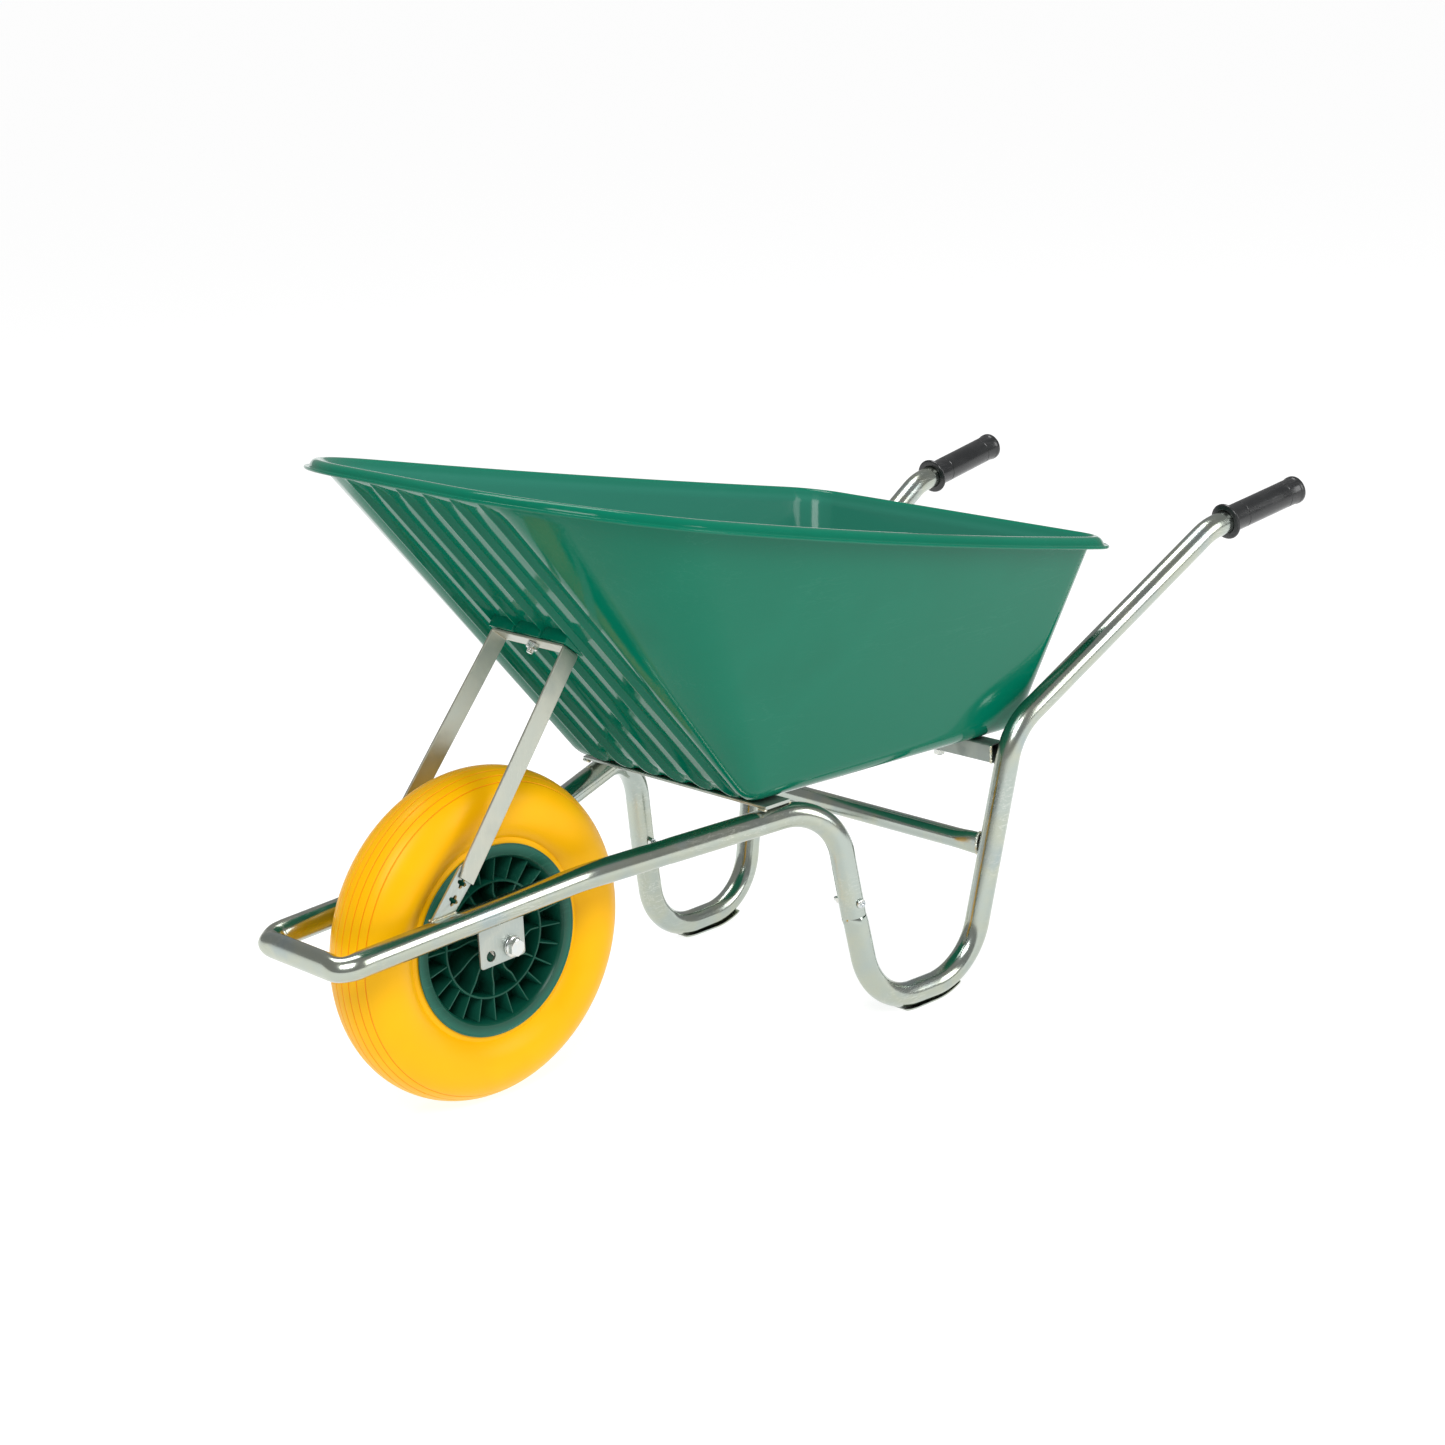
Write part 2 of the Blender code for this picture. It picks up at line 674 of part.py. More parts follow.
def make_tyre():
    """A moulded tyre: round outside, narrowing to two beads that sit in the rim."""
    middle = WHEEL_RADIUS - TYRE_HALF_HEIGHT
    profile = []
    for degrees in range(-135, 136, 15):
        angle = math.radians(degrees)
        radius = middle + TYRE_HALF_HEIGHT * math.cos(angle)
        profile.append((radius, TYRE_HALF_WIDTH * math.sin(angle)))
    bead = [(0.1118, 0.0345), (0.1040, 0.0330), (0.1000, 0.0298)]
    profile += bead + [(radius, -y) for radius, y in reversed(bead)]
    tyre = turned("tyre", profile, YELLOW, AXLE, 48)
    aim(tyre, (0, 0, 0), (0, 1, 0))


def make_wheel_rim():
    """Barrel with two flanges, a central web and a hub bored for the bearings."""
    half = [
        (0.0997, 0.0298),
        (0.1035, 0.0333),
        (FLANGE_RADIUS, 0.0348),
        (FLANGE_RADIUS, FLANGE_Y),
        (0.0975, FLANGE_Y),
        (0.0950, 0.0340),
        (0.0930, 0.0040),
        (HUB_RADIUS + 0.002, 0.0040),
        (HUB_RADIUS, HUB_HALF),
        (BEARING_RADIUS + 0.0002, HUB_HALF),
        (BEARING_RADIUS + 0.0002, HUB_HALF - 0.0105),
        (0.0100, HUB_HALF - 0.0105),
    ]
    profile = half + [(radius, -y) for radius, y in reversed(half)]
    rim = turned("wheel_rim", profile, DARK_GREEN, AXLE, 48)
    aim(rim, (0, 0, 0), (0, 1, 0))


def make_bearing(side, name):
    """A flanged plain bearing pressed into the hub; it turns on the axle sleeve."""
    low = HUB_HALF - 0.0100
    profile = [
        (SLEEVE_RADIUS + 0.0003, low),
        (BEARING_RADIUS, low),
        (BEARING_RADIUS, HUB_HALF + GAP),
        (0.0175, HUB_HALF + GAP),
        (0.0175, HUB_HALF + 0.0022),
        (SLEEVE_RADIUS + 0.0003, HUB_HALF + 0.0022),
    ]
    bearing = turned(f"bearing_{name}", profile, NYLON, AXLE, 24)
    aim(bearing, (0, 0, 0), (0, side, 0))


def make_axle():
    inner_face = BRACKET_Y - PLATE / 2 - GAP
    outer_face = BRACKET_Y + PLATE / 2 + GAP
    axle = Vector((0, 0, WHEEL_RADIUS))
    across = Vector((0, 1, 0))
    ring("axle_sleeve", axle - across * inner_face, across, SLEEVE_RADIUS, AXLE_HOLE, 2 * inner_face)
    for side, name in SIDES:
        start = axle + across * side * (HUB_HALF + 0.0022 + GAP)
        length = inner_face - (HUB_HALF + 0.0022 + GAP)
        ring(f"axle_spacer_{name}", start, across * side, 0.0120, SLEEVE_RADIUS + GAP, length)
        washer = axle + across * side * outer_face
        ring(f"axle_washer_{name}", washer, across * side, 0.0120, AXLE_HOLE, 0.0018)
    seat = outer_face + 0.0018 + GAP
    head = axle - across * seat
    bolt("axle_bolt", head, across, AXLE_RADIUS, 2 * seat + 0.0145, 0.0104, 0.0075, 6)
    ring("axle_nut", axle + across * seat, across, 0.0104, AXLE_HOLE, 0.0100, 6)


# ---------------------------------------------------------------- handles and tray fasteners


def make_grip(side, name):
    """A moulded grip: flange, plain barrel and a closed, slightly thicker end."""
    start, end = side_point(GRIP_START, side), side_point(GRIP_END, side)
    length = (end - start).length
    bore = TUBE_RADIUS + GAP
    body = 0.0173
    profile = [
        (0.0, length - 0.0035),
        (bore, length - 0.0035),
        (bore, -0.0025),
        (0.0218, -0.0025),
        (0.0233, 0.0),
        (0.0218, 0.0025),
        (body, 0.0045),
        (body, length - 0.007),
        (0.0184, length - 0.005),
        (0.0184, length - 0.001),
        (0.0172, length),
        (0.0, length),
    ]
    grip = turned(f"grip_{name}", profile, BLACK, steps=24, closed=False)
    aim(grip, start, end - start)


def make_tray_fasteners():
    """Two bolts through the floor at each cross-member, with a washer inside and a nut below."""
    floor_top = FLOOR_Z + TRAY_WALL + GAP
    for (x, y), where, grip_length in (
        (FRONT_BOLTS, "front", 0.004 + GAP),
        (REAR_BOLTS, "rear", SQUARE_TUBE + GAP),
    ):
        for side, name in SIDES:
            up = Vector((0, 0, 1))
            washer = Vector((x, side * y, floor_top))
            ring(f"tray_washer_{where}_{name}", washer, up, 0.0120, 0.0043, 0.0016)
            head = washer + up * (0.0016 + GAP)
            below = FLOOR_Z - grip_length - GAP
            length = head.z - below + 0.0085
            bolt(f"tray_bolt_{where}_{name}", head, -up, 0.004, length, 0.009, 0.004)
            nut = Vector((x, side * y, below))
            ring(f"tray_nut_{where}_{name}", nut, -up, 0.0075, 0.0043, 0.0065, 6)


def main():
    make_tray()
    make_front_frame()
    make_cross_members()
    make_front_brace()
    make_brace_fasteners()
    for side, name in SIDES:
        make_leg_tube(side, name)
        make_sleeve_fasteners(side, name)
        make_axle_bracket(side, name)
        make_leg_shoe(side, name)
        make_brace_tab(side, name)
        make_bearing(side, name)
        make_grip(side, name)
    make_tyre()
    make_wheel_rim()
    make_axle()
    make_tray_fasteners()


main()
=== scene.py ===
"""Wheelbarrow: the finished look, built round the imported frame.

Every place is given in metres from the axle: x towards the handles, y to the operator's right and
z up from the ground. Each sub-assembly is a class with its sizes as fields and a method that builds
its pieces.
"""

from __future__ import annotations

import json
import logging
import math
from dataclasses import dataclass
from enum import Enum
from typing import Any, Iterable, Sequence

import bmesh
import bpy
import numpy as np
from mathutils import Matrix, Vector

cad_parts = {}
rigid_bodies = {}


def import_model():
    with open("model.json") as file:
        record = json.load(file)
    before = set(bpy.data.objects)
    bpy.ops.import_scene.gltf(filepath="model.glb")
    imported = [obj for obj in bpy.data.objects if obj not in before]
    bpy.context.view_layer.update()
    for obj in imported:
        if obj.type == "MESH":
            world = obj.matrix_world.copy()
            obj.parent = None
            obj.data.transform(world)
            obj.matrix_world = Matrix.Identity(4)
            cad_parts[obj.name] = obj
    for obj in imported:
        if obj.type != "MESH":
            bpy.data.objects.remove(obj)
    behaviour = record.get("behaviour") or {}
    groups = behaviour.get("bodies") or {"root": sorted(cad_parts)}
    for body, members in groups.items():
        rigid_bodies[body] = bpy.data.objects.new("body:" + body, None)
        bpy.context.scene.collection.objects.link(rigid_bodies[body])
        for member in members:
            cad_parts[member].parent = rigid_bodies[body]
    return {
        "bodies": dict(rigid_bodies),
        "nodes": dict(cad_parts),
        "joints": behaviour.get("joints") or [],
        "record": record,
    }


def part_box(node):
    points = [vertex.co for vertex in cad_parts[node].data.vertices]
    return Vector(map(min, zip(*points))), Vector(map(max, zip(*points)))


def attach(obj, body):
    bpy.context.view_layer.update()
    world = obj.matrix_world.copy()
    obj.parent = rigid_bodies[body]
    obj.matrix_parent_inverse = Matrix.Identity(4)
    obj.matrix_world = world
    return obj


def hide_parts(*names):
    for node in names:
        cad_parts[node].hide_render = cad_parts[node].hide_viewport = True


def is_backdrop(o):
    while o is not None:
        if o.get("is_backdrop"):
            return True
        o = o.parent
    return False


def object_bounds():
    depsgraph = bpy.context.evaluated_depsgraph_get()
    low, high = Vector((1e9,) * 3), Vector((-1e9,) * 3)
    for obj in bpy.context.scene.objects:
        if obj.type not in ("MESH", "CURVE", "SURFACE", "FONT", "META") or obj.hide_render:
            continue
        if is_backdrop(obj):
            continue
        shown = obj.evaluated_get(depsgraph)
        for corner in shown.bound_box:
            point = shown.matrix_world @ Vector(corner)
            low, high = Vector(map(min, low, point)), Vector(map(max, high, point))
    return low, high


LOG = logging.getLogger("wheelbarrow")
Colour = tuple[float, float, float]
Point = tuple[float, float, float]
Pair = tuple[float, float]
SIDES = ((-1, "left"), (1, "right"))
GAP = 0.0003
NOSE = (-0.2376, 0.0712, 0.2343)
RAIL_BEND = (0.0978, 0.0755, 0.2495)
BRACE_TOP = (0.1085, 0.0, 0.5080)
BRACE_ALONG = (0.6262, 0.0, 0.7797)
AXLE_HEIGHT = 0.1925
SLEEVE_RADIUS = 0.0075


# ------------------------------------------------------------------ node trees


def add_node(
    tree: bpy.types.NodeTree, kind: str, inputs: dict | None = None, **settings: Any
) -> bpy.types.Node:
    """Adds a node to a tree and fills in its sockets.

    Args:
        tree: The tree that takes the node.
        kind: Blender's name of the node type.
        inputs: Socket name or index, with a value or with the socket that feeds it.
        **settings: The node's own properties.

    Returns:
        The new node.
    """
    node = tree.nodes.new(kind)
    for key, value in settings.items():
        setattr(node, key, value)
    for key, value in (inputs or {}).items():
        if isinstance(value, bpy.types.NodeSocket):
            tree.links.new(value, node.inputs[key])
        else:
            node.inputs[key].default_value = value
    return node


def new_tree(name: str, kind: str, inputs: Sequence[tuple], outputs: Sequence[tuple]) -> tuple:
    """Makes an empty node group with named sockets.

    Args:
        name: The group's name.
        kind: ShaderNodeTree or GeometryNodeTree.
        inputs: Name, socket type and default of each input; the default may be None.
        outputs: Name and socket type of each output.

    Returns:
        The tree, its input node and its output node.
    """
    tree = bpy.data.node_groups.new(name, kind)
    for label, socket_type, default in inputs:
        socket = tree.interface.new_socket(label, in_out="INPUT", socket_type=socket_type)
        if default is not None:
            socket.default_value = default
    for label, socket_type in outputs:
        tree.interface.new_socket(label, in_out="OUTPUT", socket_type=socket_type)
    return tree, tree.nodes.new("NodeGroupInput"), tree.nodes.new("NodeGroupOutput")


def math_node(
    tree: bpy.types.NodeTree, operation: str, first: Any, second: Any = 0.0
) -> bpy.types.NodeSocket:
    """Adds a Math node and returns its result."""
    return add_node(tree, "ShaderNodeMath", {0: first, 1: second}, operation=operation).outputs[0]


def spread(tree: bpy.types.NodeTree, value: Any, low: float, high: float, to_low: float, to_high: float):
    """Maps a value from one range to another, clamped, and returns the result."""
    numbers = {0: value, 1: low, 2: high, 3: to_low, 4: to_high}
    return add_node(tree, "ShaderNodeMapRange", numbers).outputs[0]


class Effects:
    """The shader effects that several finishes share, each built once."""

    def __init__(self) -> None:
        """Builds the groups."""
        self.cloud = self.make_cloud()
        self.scratches = self.make_scratches()

    def make_cloud(self) -> bpy.types.NodeTree:
        """Soft patches that drift between three colours.

        Returns:
            The group: Vector, Size, First, Second and Third in, Colour and Mask out.
        """
        colours = [(name, "NodeSocketColor", None) for name in ("First", "Second", "Third")]
        inputs = [("Vector", "NodeSocketVector", None), ("Size", "NodeSocketFloat", 8.0), *colours]
        outputs = [("Colour", "NodeSocketColor"), ("Mask", "NodeSocketFloat")]
        tree, entry, leave = new_tree("cloudy_tint", "ShaderNodeTree", inputs, outputs)
        noise = {"Vector": entry.outputs["Vector"], "Scale": entry.outputs["Size"], "Detail": 3.0}
        patch = add_node(tree, "ShaderNodeTexNoise", noise).outputs[0]
        mixed = entry.outputs["First"]
        for label, low, high in (("Second", 0.42, 0.56), ("Third", 0.56, 0.70)):
            share = spread(tree, patch, low, high, 0.0, 1.0)
            sockets = {0: share, 6: mixed, 7: entry.outputs[label]}
            mixed = add_node(tree, "ShaderNodeMix", sockets, data_type="RGBA").outputs[2]
        tree.links.new(mixed, leave.inputs["Colour"])
        tree.links.new(patch, leave.inputs["Mask"])
        return tree

    def make_scratches(self) -> bpy.types.NodeTree:
        """Fine hair scratches, gathered in patches.

        Returns:
            The group: Vector, Size, Stretch and Amount in, Mask out.
        """
        inputs = [
            ("Vector", "NodeSocketVector", None),
            ("Size", "NodeSocketFloat", 60.0),
            ("Stretch", "NodeSocketVector", (0.06, 1.0, 1.0)),
            ("Amount", "NodeSocketFloat", 1.0),
        ]
        outputs = [("Mask", "NodeSocketFloat")]
        tree, entry, leave = new_tree("hair_scratches", "ShaderNodeTree", inputs, outputs)
        stretched = add_node(
            tree,
            "ShaderNodeVectorMath",
            {0: entry.outputs["Vector"], 1: entry.outputs["Stretch"]},
            operation="MULTIPLY",
        ).outputs[0]
        noise = {"Vector": stretched, "Scale": entry.outputs["Size"], "Detail": 4.0, "Roughness": 0.6}
        lines = add_node(tree, "ShaderNodeTexNoise", noise).outputs[0]
        distance = math_node(tree, "ABSOLUTE", math_node(tree, "SUBTRACT", lines, 0.5))
        thin = spread(tree, distance, 0.0, 0.018, 1.0, 0.0)
        wide = {"Vector": entry.outputs["Vector"], "Scale": 9.0, "Detail": 2.0}
        patch = spread(tree, add_node(tree, "ShaderNodeTexNoise", wide).outputs[0], 0.45, 0.65, 0.0, 1.0)
        found = math_node(tree, "MULTIPLY", thin, patch)
        found = math_node(tree, "MULTIPLY", found, entry.outputs["Amount"])
        tree.links.new(found, leave.inputs["Mask"])
        return tree


# ------------------------------------------------------------------ finishes


@dataclass(frozen=True)
class Finish:
    """A surface finish: three colours that drift into each other, gloss, grain and scratches."""

    name: str
    slot: str
    colours: tuple[Colour, Colour, Colour]
    roughness: Pair
    metallic: float = 0.0
    patch_size: float = 8.0
    grain_size: float = 500.0
    grain_depth: float = 0.02
    scratch_size: float = 60.0
    scratch_stretch: Point = (0.06, 1.0, 1.0)
    scratch_amount: float = 0.3
    scratch_colour: Colour = (0.5, 0.5, 0.5)
    coat: float = 0.0
    specular: float = 0.5
    # mark lays mark_colour where a point attribute says: painted reflection inside the tray, painted shade in
    # the tyre's grooves, a painted highlight on the rim's crown; heat tint on zinc and edge colour on strip.
    mark: str = ""
    mark_colour: Colour = (0.0, 0.0, 0.0)
    mark_roughness: float = 0.0

    def build(self, effects: Effects) -> bpy.types.Material:
        """Builds the material.

        Args:
            effects: The shared shader groups.

        Returns:
            The material.
        """
        material = bpy.data.materials.new(self.name)
        material.use_nodes = True
        tree = material.node_tree
        shader = tree.nodes["Principled BSDF"]
        shader.inputs["Metallic"].default_value = self.metallic
        shader.inputs["Coat Weight"].default_value = self.coat
        shader.inputs["Specular IOR Level"].default_value = self.specular
        shader.inputs["Coat Roughness"].default_value = 0.08
        place = add_node(tree, "ShaderNodeTexCoord").outputs["Object"]
        cloud = add_node(tree, "ShaderNodeGroup", node_tree=effects.cloud)
        tree.links.new(place, cloud.inputs["Vector"])
        cloud.inputs["Size"].default_value = self.patch_size
        for label, colour in zip(("First", "Second", "Third"), self.colours):
            cloud.inputs[label].default_value = (*colour, 1.0)
        hair = add_node(tree, "ShaderNodeGroup", node_tree=effects.scratches)
        tree.links.new(place, hair.inputs["Vector"])
        hair.inputs["Size"].default_value = self.scratch_size
        hair.inputs["Stretch"].default_value = self.scratch_stretch
        hair.inputs["Amount"].default_value = self.scratch_amount
        base = cloud.outputs["Colour"]
        rough = spread(tree, cloud.outputs["Mask"], 0.35, 0.65, *self.roughness)
        if self.mark:
            mark = add_node(tree, "ShaderNodeAttribute", attribute_name=self.mark).outputs["Fac"]
            sockets = {0: mark, 6: base, 7: (*self.mark_colour, 1.0)}
            base = add_node(tree, "ShaderNodeMix", sockets, data_type="RGBA").outputs[2]
            rough = math_node(tree, "ADD", rough, math_node(tree, "MULTIPLY", mark, self.mark_roughness))
        sockets = {0: hair.outputs["Mask"], 6: base, 7: (*self.scratch_colour, 1.0)}
        base = add_node(tree, "ShaderNodeMix", sockets, data_type="RGBA").outputs[2]
        rough = math_node(tree, "ADD", rough, math_node(tree, "MULTIPLY", hair.outputs["Mask"], 0.2))
        noise = {"Vector": place, "Scale": self.grain_size, "Detail": 2.0}
        grain = add_node(tree, "ShaderNodeTexNoise", noise).outputs[0]
        height = math_node(tree, "SUBTRACT", grain, math_node(tree, "MULTIPLY", hair.outputs["Mask"], 0.8))
        bump = {"Strength": 1.0, "Distance": self.grain_depth * 0.001, "Height": height}
        normal = add_node(tree, "ShaderNodeBump", bump).outputs[0]
        tree.links.new(base, shader.inputs["Base Color"])
        tree.links.new(rough, shader.inputs["Roughness"])
        tree.links.new(normal, shader.inputs["Normal"])
        return material


class Surface(Enum):
    """The finishes on the barrow."""

    TRAY = Finish(
        "green_polypropylene", "tray",
        ((0.0005, 0.150, 0.086), (0.0005, 0.156, 0.090), (0.0005, 0.144, 0.082)),
        (0.07, 0.10), specular=0.20, patch_size=4.0, grain_size=900.0, grain_depth=0.004, scratch_size=70.0,
        scratch_stretch=(0.10, 1.0, 0.7), scratch_amount=0.05, scratch_colour=(0.10, 0.34, 0.25),
        # The inside mark: its paler green on the inner faces is painted reflection; its added roughness is
        # scuffing.
        mark="inside", mark_colour=(0.030, 0.205, 0.145), mark_roughness=0.08,
    )
    TYRE = Finish(
        "yellow_foam", "tyre",
        ((0.98, 0.50, 0.0), (0.98, 0.48, 0.0), (0.98, 0.52, 0.0)),
        (0.32, 0.38), specular=0.18, patch_size=6.0, grain_size=700.0, grain_depth=0.05, scratch_amount=0.05,
        # The groove mark is painted shade: a darker orange laid along the tread grooves.
        scratch_colour=(0.9, 0.45, 0.02), mark="groove", mark_colour=(0.95, 0.24, 0.0),
    )
    RIM = Finish(
        "dark_green_nylon", "rim",
        ((0.002, 0.066, 0.040), (0.003, 0.074, 0.046), (0.002, 0.060, 0.036)),
        (0.28, 0.36), specular=0.25, patch_size=18.0, grain_size=800.0, grain_depth=0.03, scratch_size=90.0,
        # The edge mark is a painted highlight: paler green on the flange's crown, faintly on the vanes and
        # ribs.
        scratch_amount=0.35, scratch_colour=(0.05, 0.22, 0.16), mark="edge",
        mark_colour=(0.022, 0.150, 0.105), mark_roughness=0.05,
    )
    ZINC = Finish(
        "zinc_plate", "zinc_tube",
        ((0.42, 0.47, 0.43), (0.46, 0.49, 0.41), (0.38, 0.44, 0.43)),
        (0.14, 0.24), metallic=1.0, patch_size=14.0, grain_size=420.0, grain_depth=0.02,
        scratch_size=120.0, scratch_amount=0.35, scratch_colour=(0.86, 0.86, 0.80),
        mark="heat", mark_colour=(0.66, 0.50, 0.26), mark_roughness=0.08,
    )
    STRIP = Finish(
        "galvanised_strip", "galvanised_plate",
        ((0.44, 0.49, 0.46), (0.50, 0.53, 0.48), (0.41, 0.46, 0.44)),
        (0.34, 0.46), metallic=0.9, patch_size=20.0, grain_size=380.0, grain_depth=0.10,
        scratch_size=160.0, scratch_stretch=(1.0, 1.0, 0.10), scratch_amount=0.4,
        scratch_colour=(0.66, 0.67, 0.60), mark="edge", mark_colour=(0.66, 0.58, 0.40),
    )
    DARK_STRIP = Finish(
        "dull_galvanised_tube", "galvanised_plate",
        ((0.30, 0.34, 0.32), (0.36, 0.40, 0.37), (0.27, 0.31, 0.29)),
        (0.40, 0.52), metallic=0.85, patch_size=24.0, grain_size=420.0, grain_depth=0.10,
        scratch_amount=0.4, scratch_colour=(0.5, 0.5, 0.46),
    )
    WELD = Finish(
        "weld_bead", "galvanised_plate",
        ((0.66, 0.68, 0.62), (0.62, 0.54, 0.34), (0.50, 0.56, 0.60)),
        (0.22, 0.38), metallic=1.0, patch_size=90.0, grain_size=900.0, grain_depth=0.2,
    )
    FASTENER = Finish(
        "zinc_fastener", "fastener",
        ((0.66, 0.70, 0.70), (0.72, 0.73, 0.68), (0.58, 0.63, 0.66)),
        (0.20, 0.30), metallic=1.0, patch_size=60.0, grain_size=900.0, grain_depth=0.04,
        scratch_size=200.0, scratch_amount=0.3, scratch_colour=(0.85, 0.85, 0.82),
    )
    NYLON = Finish(
        "white_nylon", "bearing",
        ((0.72, 0.71, 0.66), (0.76, 0.75, 0.70), (0.68, 0.67, 0.62)),
        (0.36, 0.46), patch_size=50.0, grain_size=900.0, grain_depth=0.03, scratch_amount=0.1,
    )
    GRIP = Finish(
        "black_vinyl", "grip",
        ((0.012, 0.013, 0.014), (0.016, 0.017, 0.018), (0.010, 0.011, 0.012)),
        (0.22, 0.32), patch_size=30.0, grain_size=600.0, grain_depth=0.06, scratch_size=90.0,
        scratch_amount=0.35, scratch_colour=(0.10, 0.10, 0.10), coat=0.15,
    )


class Finishes:
    """Builds each material on first use and keeps it."""

    def __init__(self) -> None:
        """Builds the shared effects."""
        self.effects = Effects()
        self.made: dict[Surface, bpy.types.Material] = {}

    def get(self, surface: Surface) -> bpy.types.Material:
        """Returns the material of a finish."""
        if surface not in self.made:
            self.made[surface] = surface.value.build(self.effects)
        return self.made[surface]


# ------------------------------------------------------------------ meshes


class Ends(Enum):
    """How a loft ends."""

    CAPPED = "a face closes the first and the last ring"
    LOOPED = "the last ring joins the first"


class Form:
    """Points and faces gathered before they become one piece."""

    def __init__(self) -> None:
        """Starts empty."""
        self.points: list[np.ndarray] = []
        self.faces: list[tuple[int, ...]] = []
        self.marks: list[np.ndarray] = []
        self.count = 0

    def add(self, points: np.ndarray, faces: Iterable[Sequence[int]], mark: np.ndarray | float = 0.0) -> None:
        """Adds a closed shell.

        Args:
            points: Its points, one a row.
            faces: Its faces, as rows of those points.
            mark: A value from 0 to 1 at each point, for a finish that reads it.
        """
        self.points.append(points)
        self.faces += [tuple(index + self.count for index in face) for face in faces]
        self.marks.append(np.broadcast_to(mark, len(points)))
        self.count += len(points)

    def loft(self, rings: np.ndarray, ends: Ends = Ends.CAPPED, mark: np.ndarray | float = 0.0) -> None:
        """Adds a shell over rings of equal length.

        Args:
            rings: Rings of points, shaped (rings, points, 3).
            ends: How the two ends are closed.
            mark: A value at each point, or one value for each ring.
        """
        rows, columns = rings.shape[:2]
        index = np.arange(rows * columns).reshape(rows, columns)
        if ends is Ends.LOOPED:
            index = np.vstack([index, index[:1]])
        right = np.roll(index, -1, axis=1)
        quads = np.stack([index[:-1], right[:-1], right[1:], index[1:]], axis=-1).reshape(-1, 4)
        faces = [tuple(face) for face in quads.tolist()]
        if ends is Ends.CAPPED:
            faces.append(tuple(index[0, ::-1].tolist()))
            faces.append(tuple(index[-1].tolist()))
        if isinstance(mark, np.ndarray) and mark.shape == (rows,):
            mark = np.repeat(mark, columns)
        elif isinstance(mark, np.ndarray):
            mark = mark.reshape(-1)
        self.add(rings.reshape(-1, 3), faces, mark)

    def mesh(self, name: str, mark_name: str = "") -> bpy.types.Mesh:
        """Turns the gathered shells into a mesh whose faces point out.

        Args:
            name: The mesh's name.
            mark_name: The attribute that keeps the marks, if a finish reads them.

        Returns:
            The mesh.
        """
        mesh = bpy.data.meshes.new(name)
        mesh.from_pydata(np.concatenate(self.points).tolist(), [], self.faces)
        if mark_name:
            layer = mesh.attributes.new(mark_name, "FLOAT", "POINT")
            layer.data.foreach_set("value", np.concatenate(self.marks).astype(np.float32))
        shape = bmesh.new()
        shape.from_mesh(mesh)
        bmesh.ops.recalc_face_normals(shape, faces=shape.faces)
        shape.to_mesh(mesh)
        shape.free()
        return mesh


class Workshop:
    """Turns meshes into finished pieces that ride on the frame."""

    def __init__(self) -> None:
        """Loads the frame and finds the axle in it."""
        self.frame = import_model()
        self.cad_box = [list(corner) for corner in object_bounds()]
        low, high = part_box("axle_bolt")
        self.axle = Vector(((low[0] + high[0]) / 2, 0.0, (low[2] + high[2]) / 2))
        self.finishes = Finishes()
        self.bodies = {
            node: body
            for body, nodes in self.frame["record"]["behaviour"]["bodies"].items()
            for node in nodes
        }

    def finish(
        self,
        name: str,
        mesh: bpy.types.Mesh,
        surface: Surface,
        nodes: Sequence[str],
        rides_with: str = "",
        sharp: float = 35.0,
    ) -> bpy.types.Object:
        """Moves a mesh from the axle's frame to its place and registers it.

        Args:
            name: The piece's name.
            mesh: Its mesh, with x measured from the axle.
            surface: Its finish.
            nodes: The nodes that it stands for.
            rides_with: A node whose body it rides on, where it stands for none.
            sharp: The angle in degrees past which an edge is drawn sharp.

        Returns:
            The piece.
        """
        mesh.transform(Matrix.Translation((self.axle.x, 0.0, 0.0)))
        mesh.materials.clear()
        mesh.materials.append(self.finishes.get(surface))
        mesh.shade_smooth()
        mesh.set_sharp_from_angle(angle=math.radians(sharp))
        piece = bpy.data.objects.new(name, mesh)
        bpy.context.scene.collection.objects.link(piece)
        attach(piece, self.bodies[rides_with or nodes[0]])
        if nodes:
            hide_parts(*nodes)
        LOG.info("%s: %d faces", name, len(mesh.polygons))
        return piece


def array(points: Iterable[Sequence[float]]) -> np.ndarray:
    """Returns points as an array of rows."""
    return np.array([tuple(point) for point in points], dtype=float)


def upright(place: Point, along: Sequence[float]) -> np.ndarray:
    """Returns the 4 x 4 matrix that stands +Z along a direction at a place."""
    turn = Vector(along).to_track_quat("Z", "Y").to_matrix().to_4x4()
    return np.array(Matrix.Translation(place) @ turn)


def placed(points: np.ndarray, matrix: np.ndarray) -> np.ndarray:
    """Returns points moved by a 4 x 4 matrix."""
    return points @ matrix[:3, :3].T + matrix[:3, 3]


def turned(profile: Sequence[Pair], matrix: np.ndarray, steps: int = 64) -> np.ndarray:
    """Turns a profile about an axis.

    Args:
        profile: Pairs of radius and height.
        matrix: The place of the axis, along its +Z.
        steps: Points round each ring.

    Returns:
        Rings of points, one for each pair.
    """
    angles = np.linspace(0.0, 2.0 * math.pi, steps, endpoint=False)
    circle = np.stack([np.cos(angles), np.sin(angles)], axis=1)
    rings = [np.column_stack([circle * radius, np.full(steps, height)]) for radius, height in profile]
    return placed(np.array(rings), matrix)


def softened(value: np.ndarray | float, low: float, high: float) -> Any:
    """A smooth step from 0 at low to 1 at high."""
    share = np.clip((np.asarray(value, dtype=float) - low) / (high - low), 0.0, 1.0)
    return share * share * (3.0 - 2.0 * share)


def bump(value: np.ndarray | float, centre: float, width: float) -> Any:
    """A bell of height 1 round a centre."""
    return np.exp(-(((np.asarray(value, dtype=float) - centre) / width) ** 2))


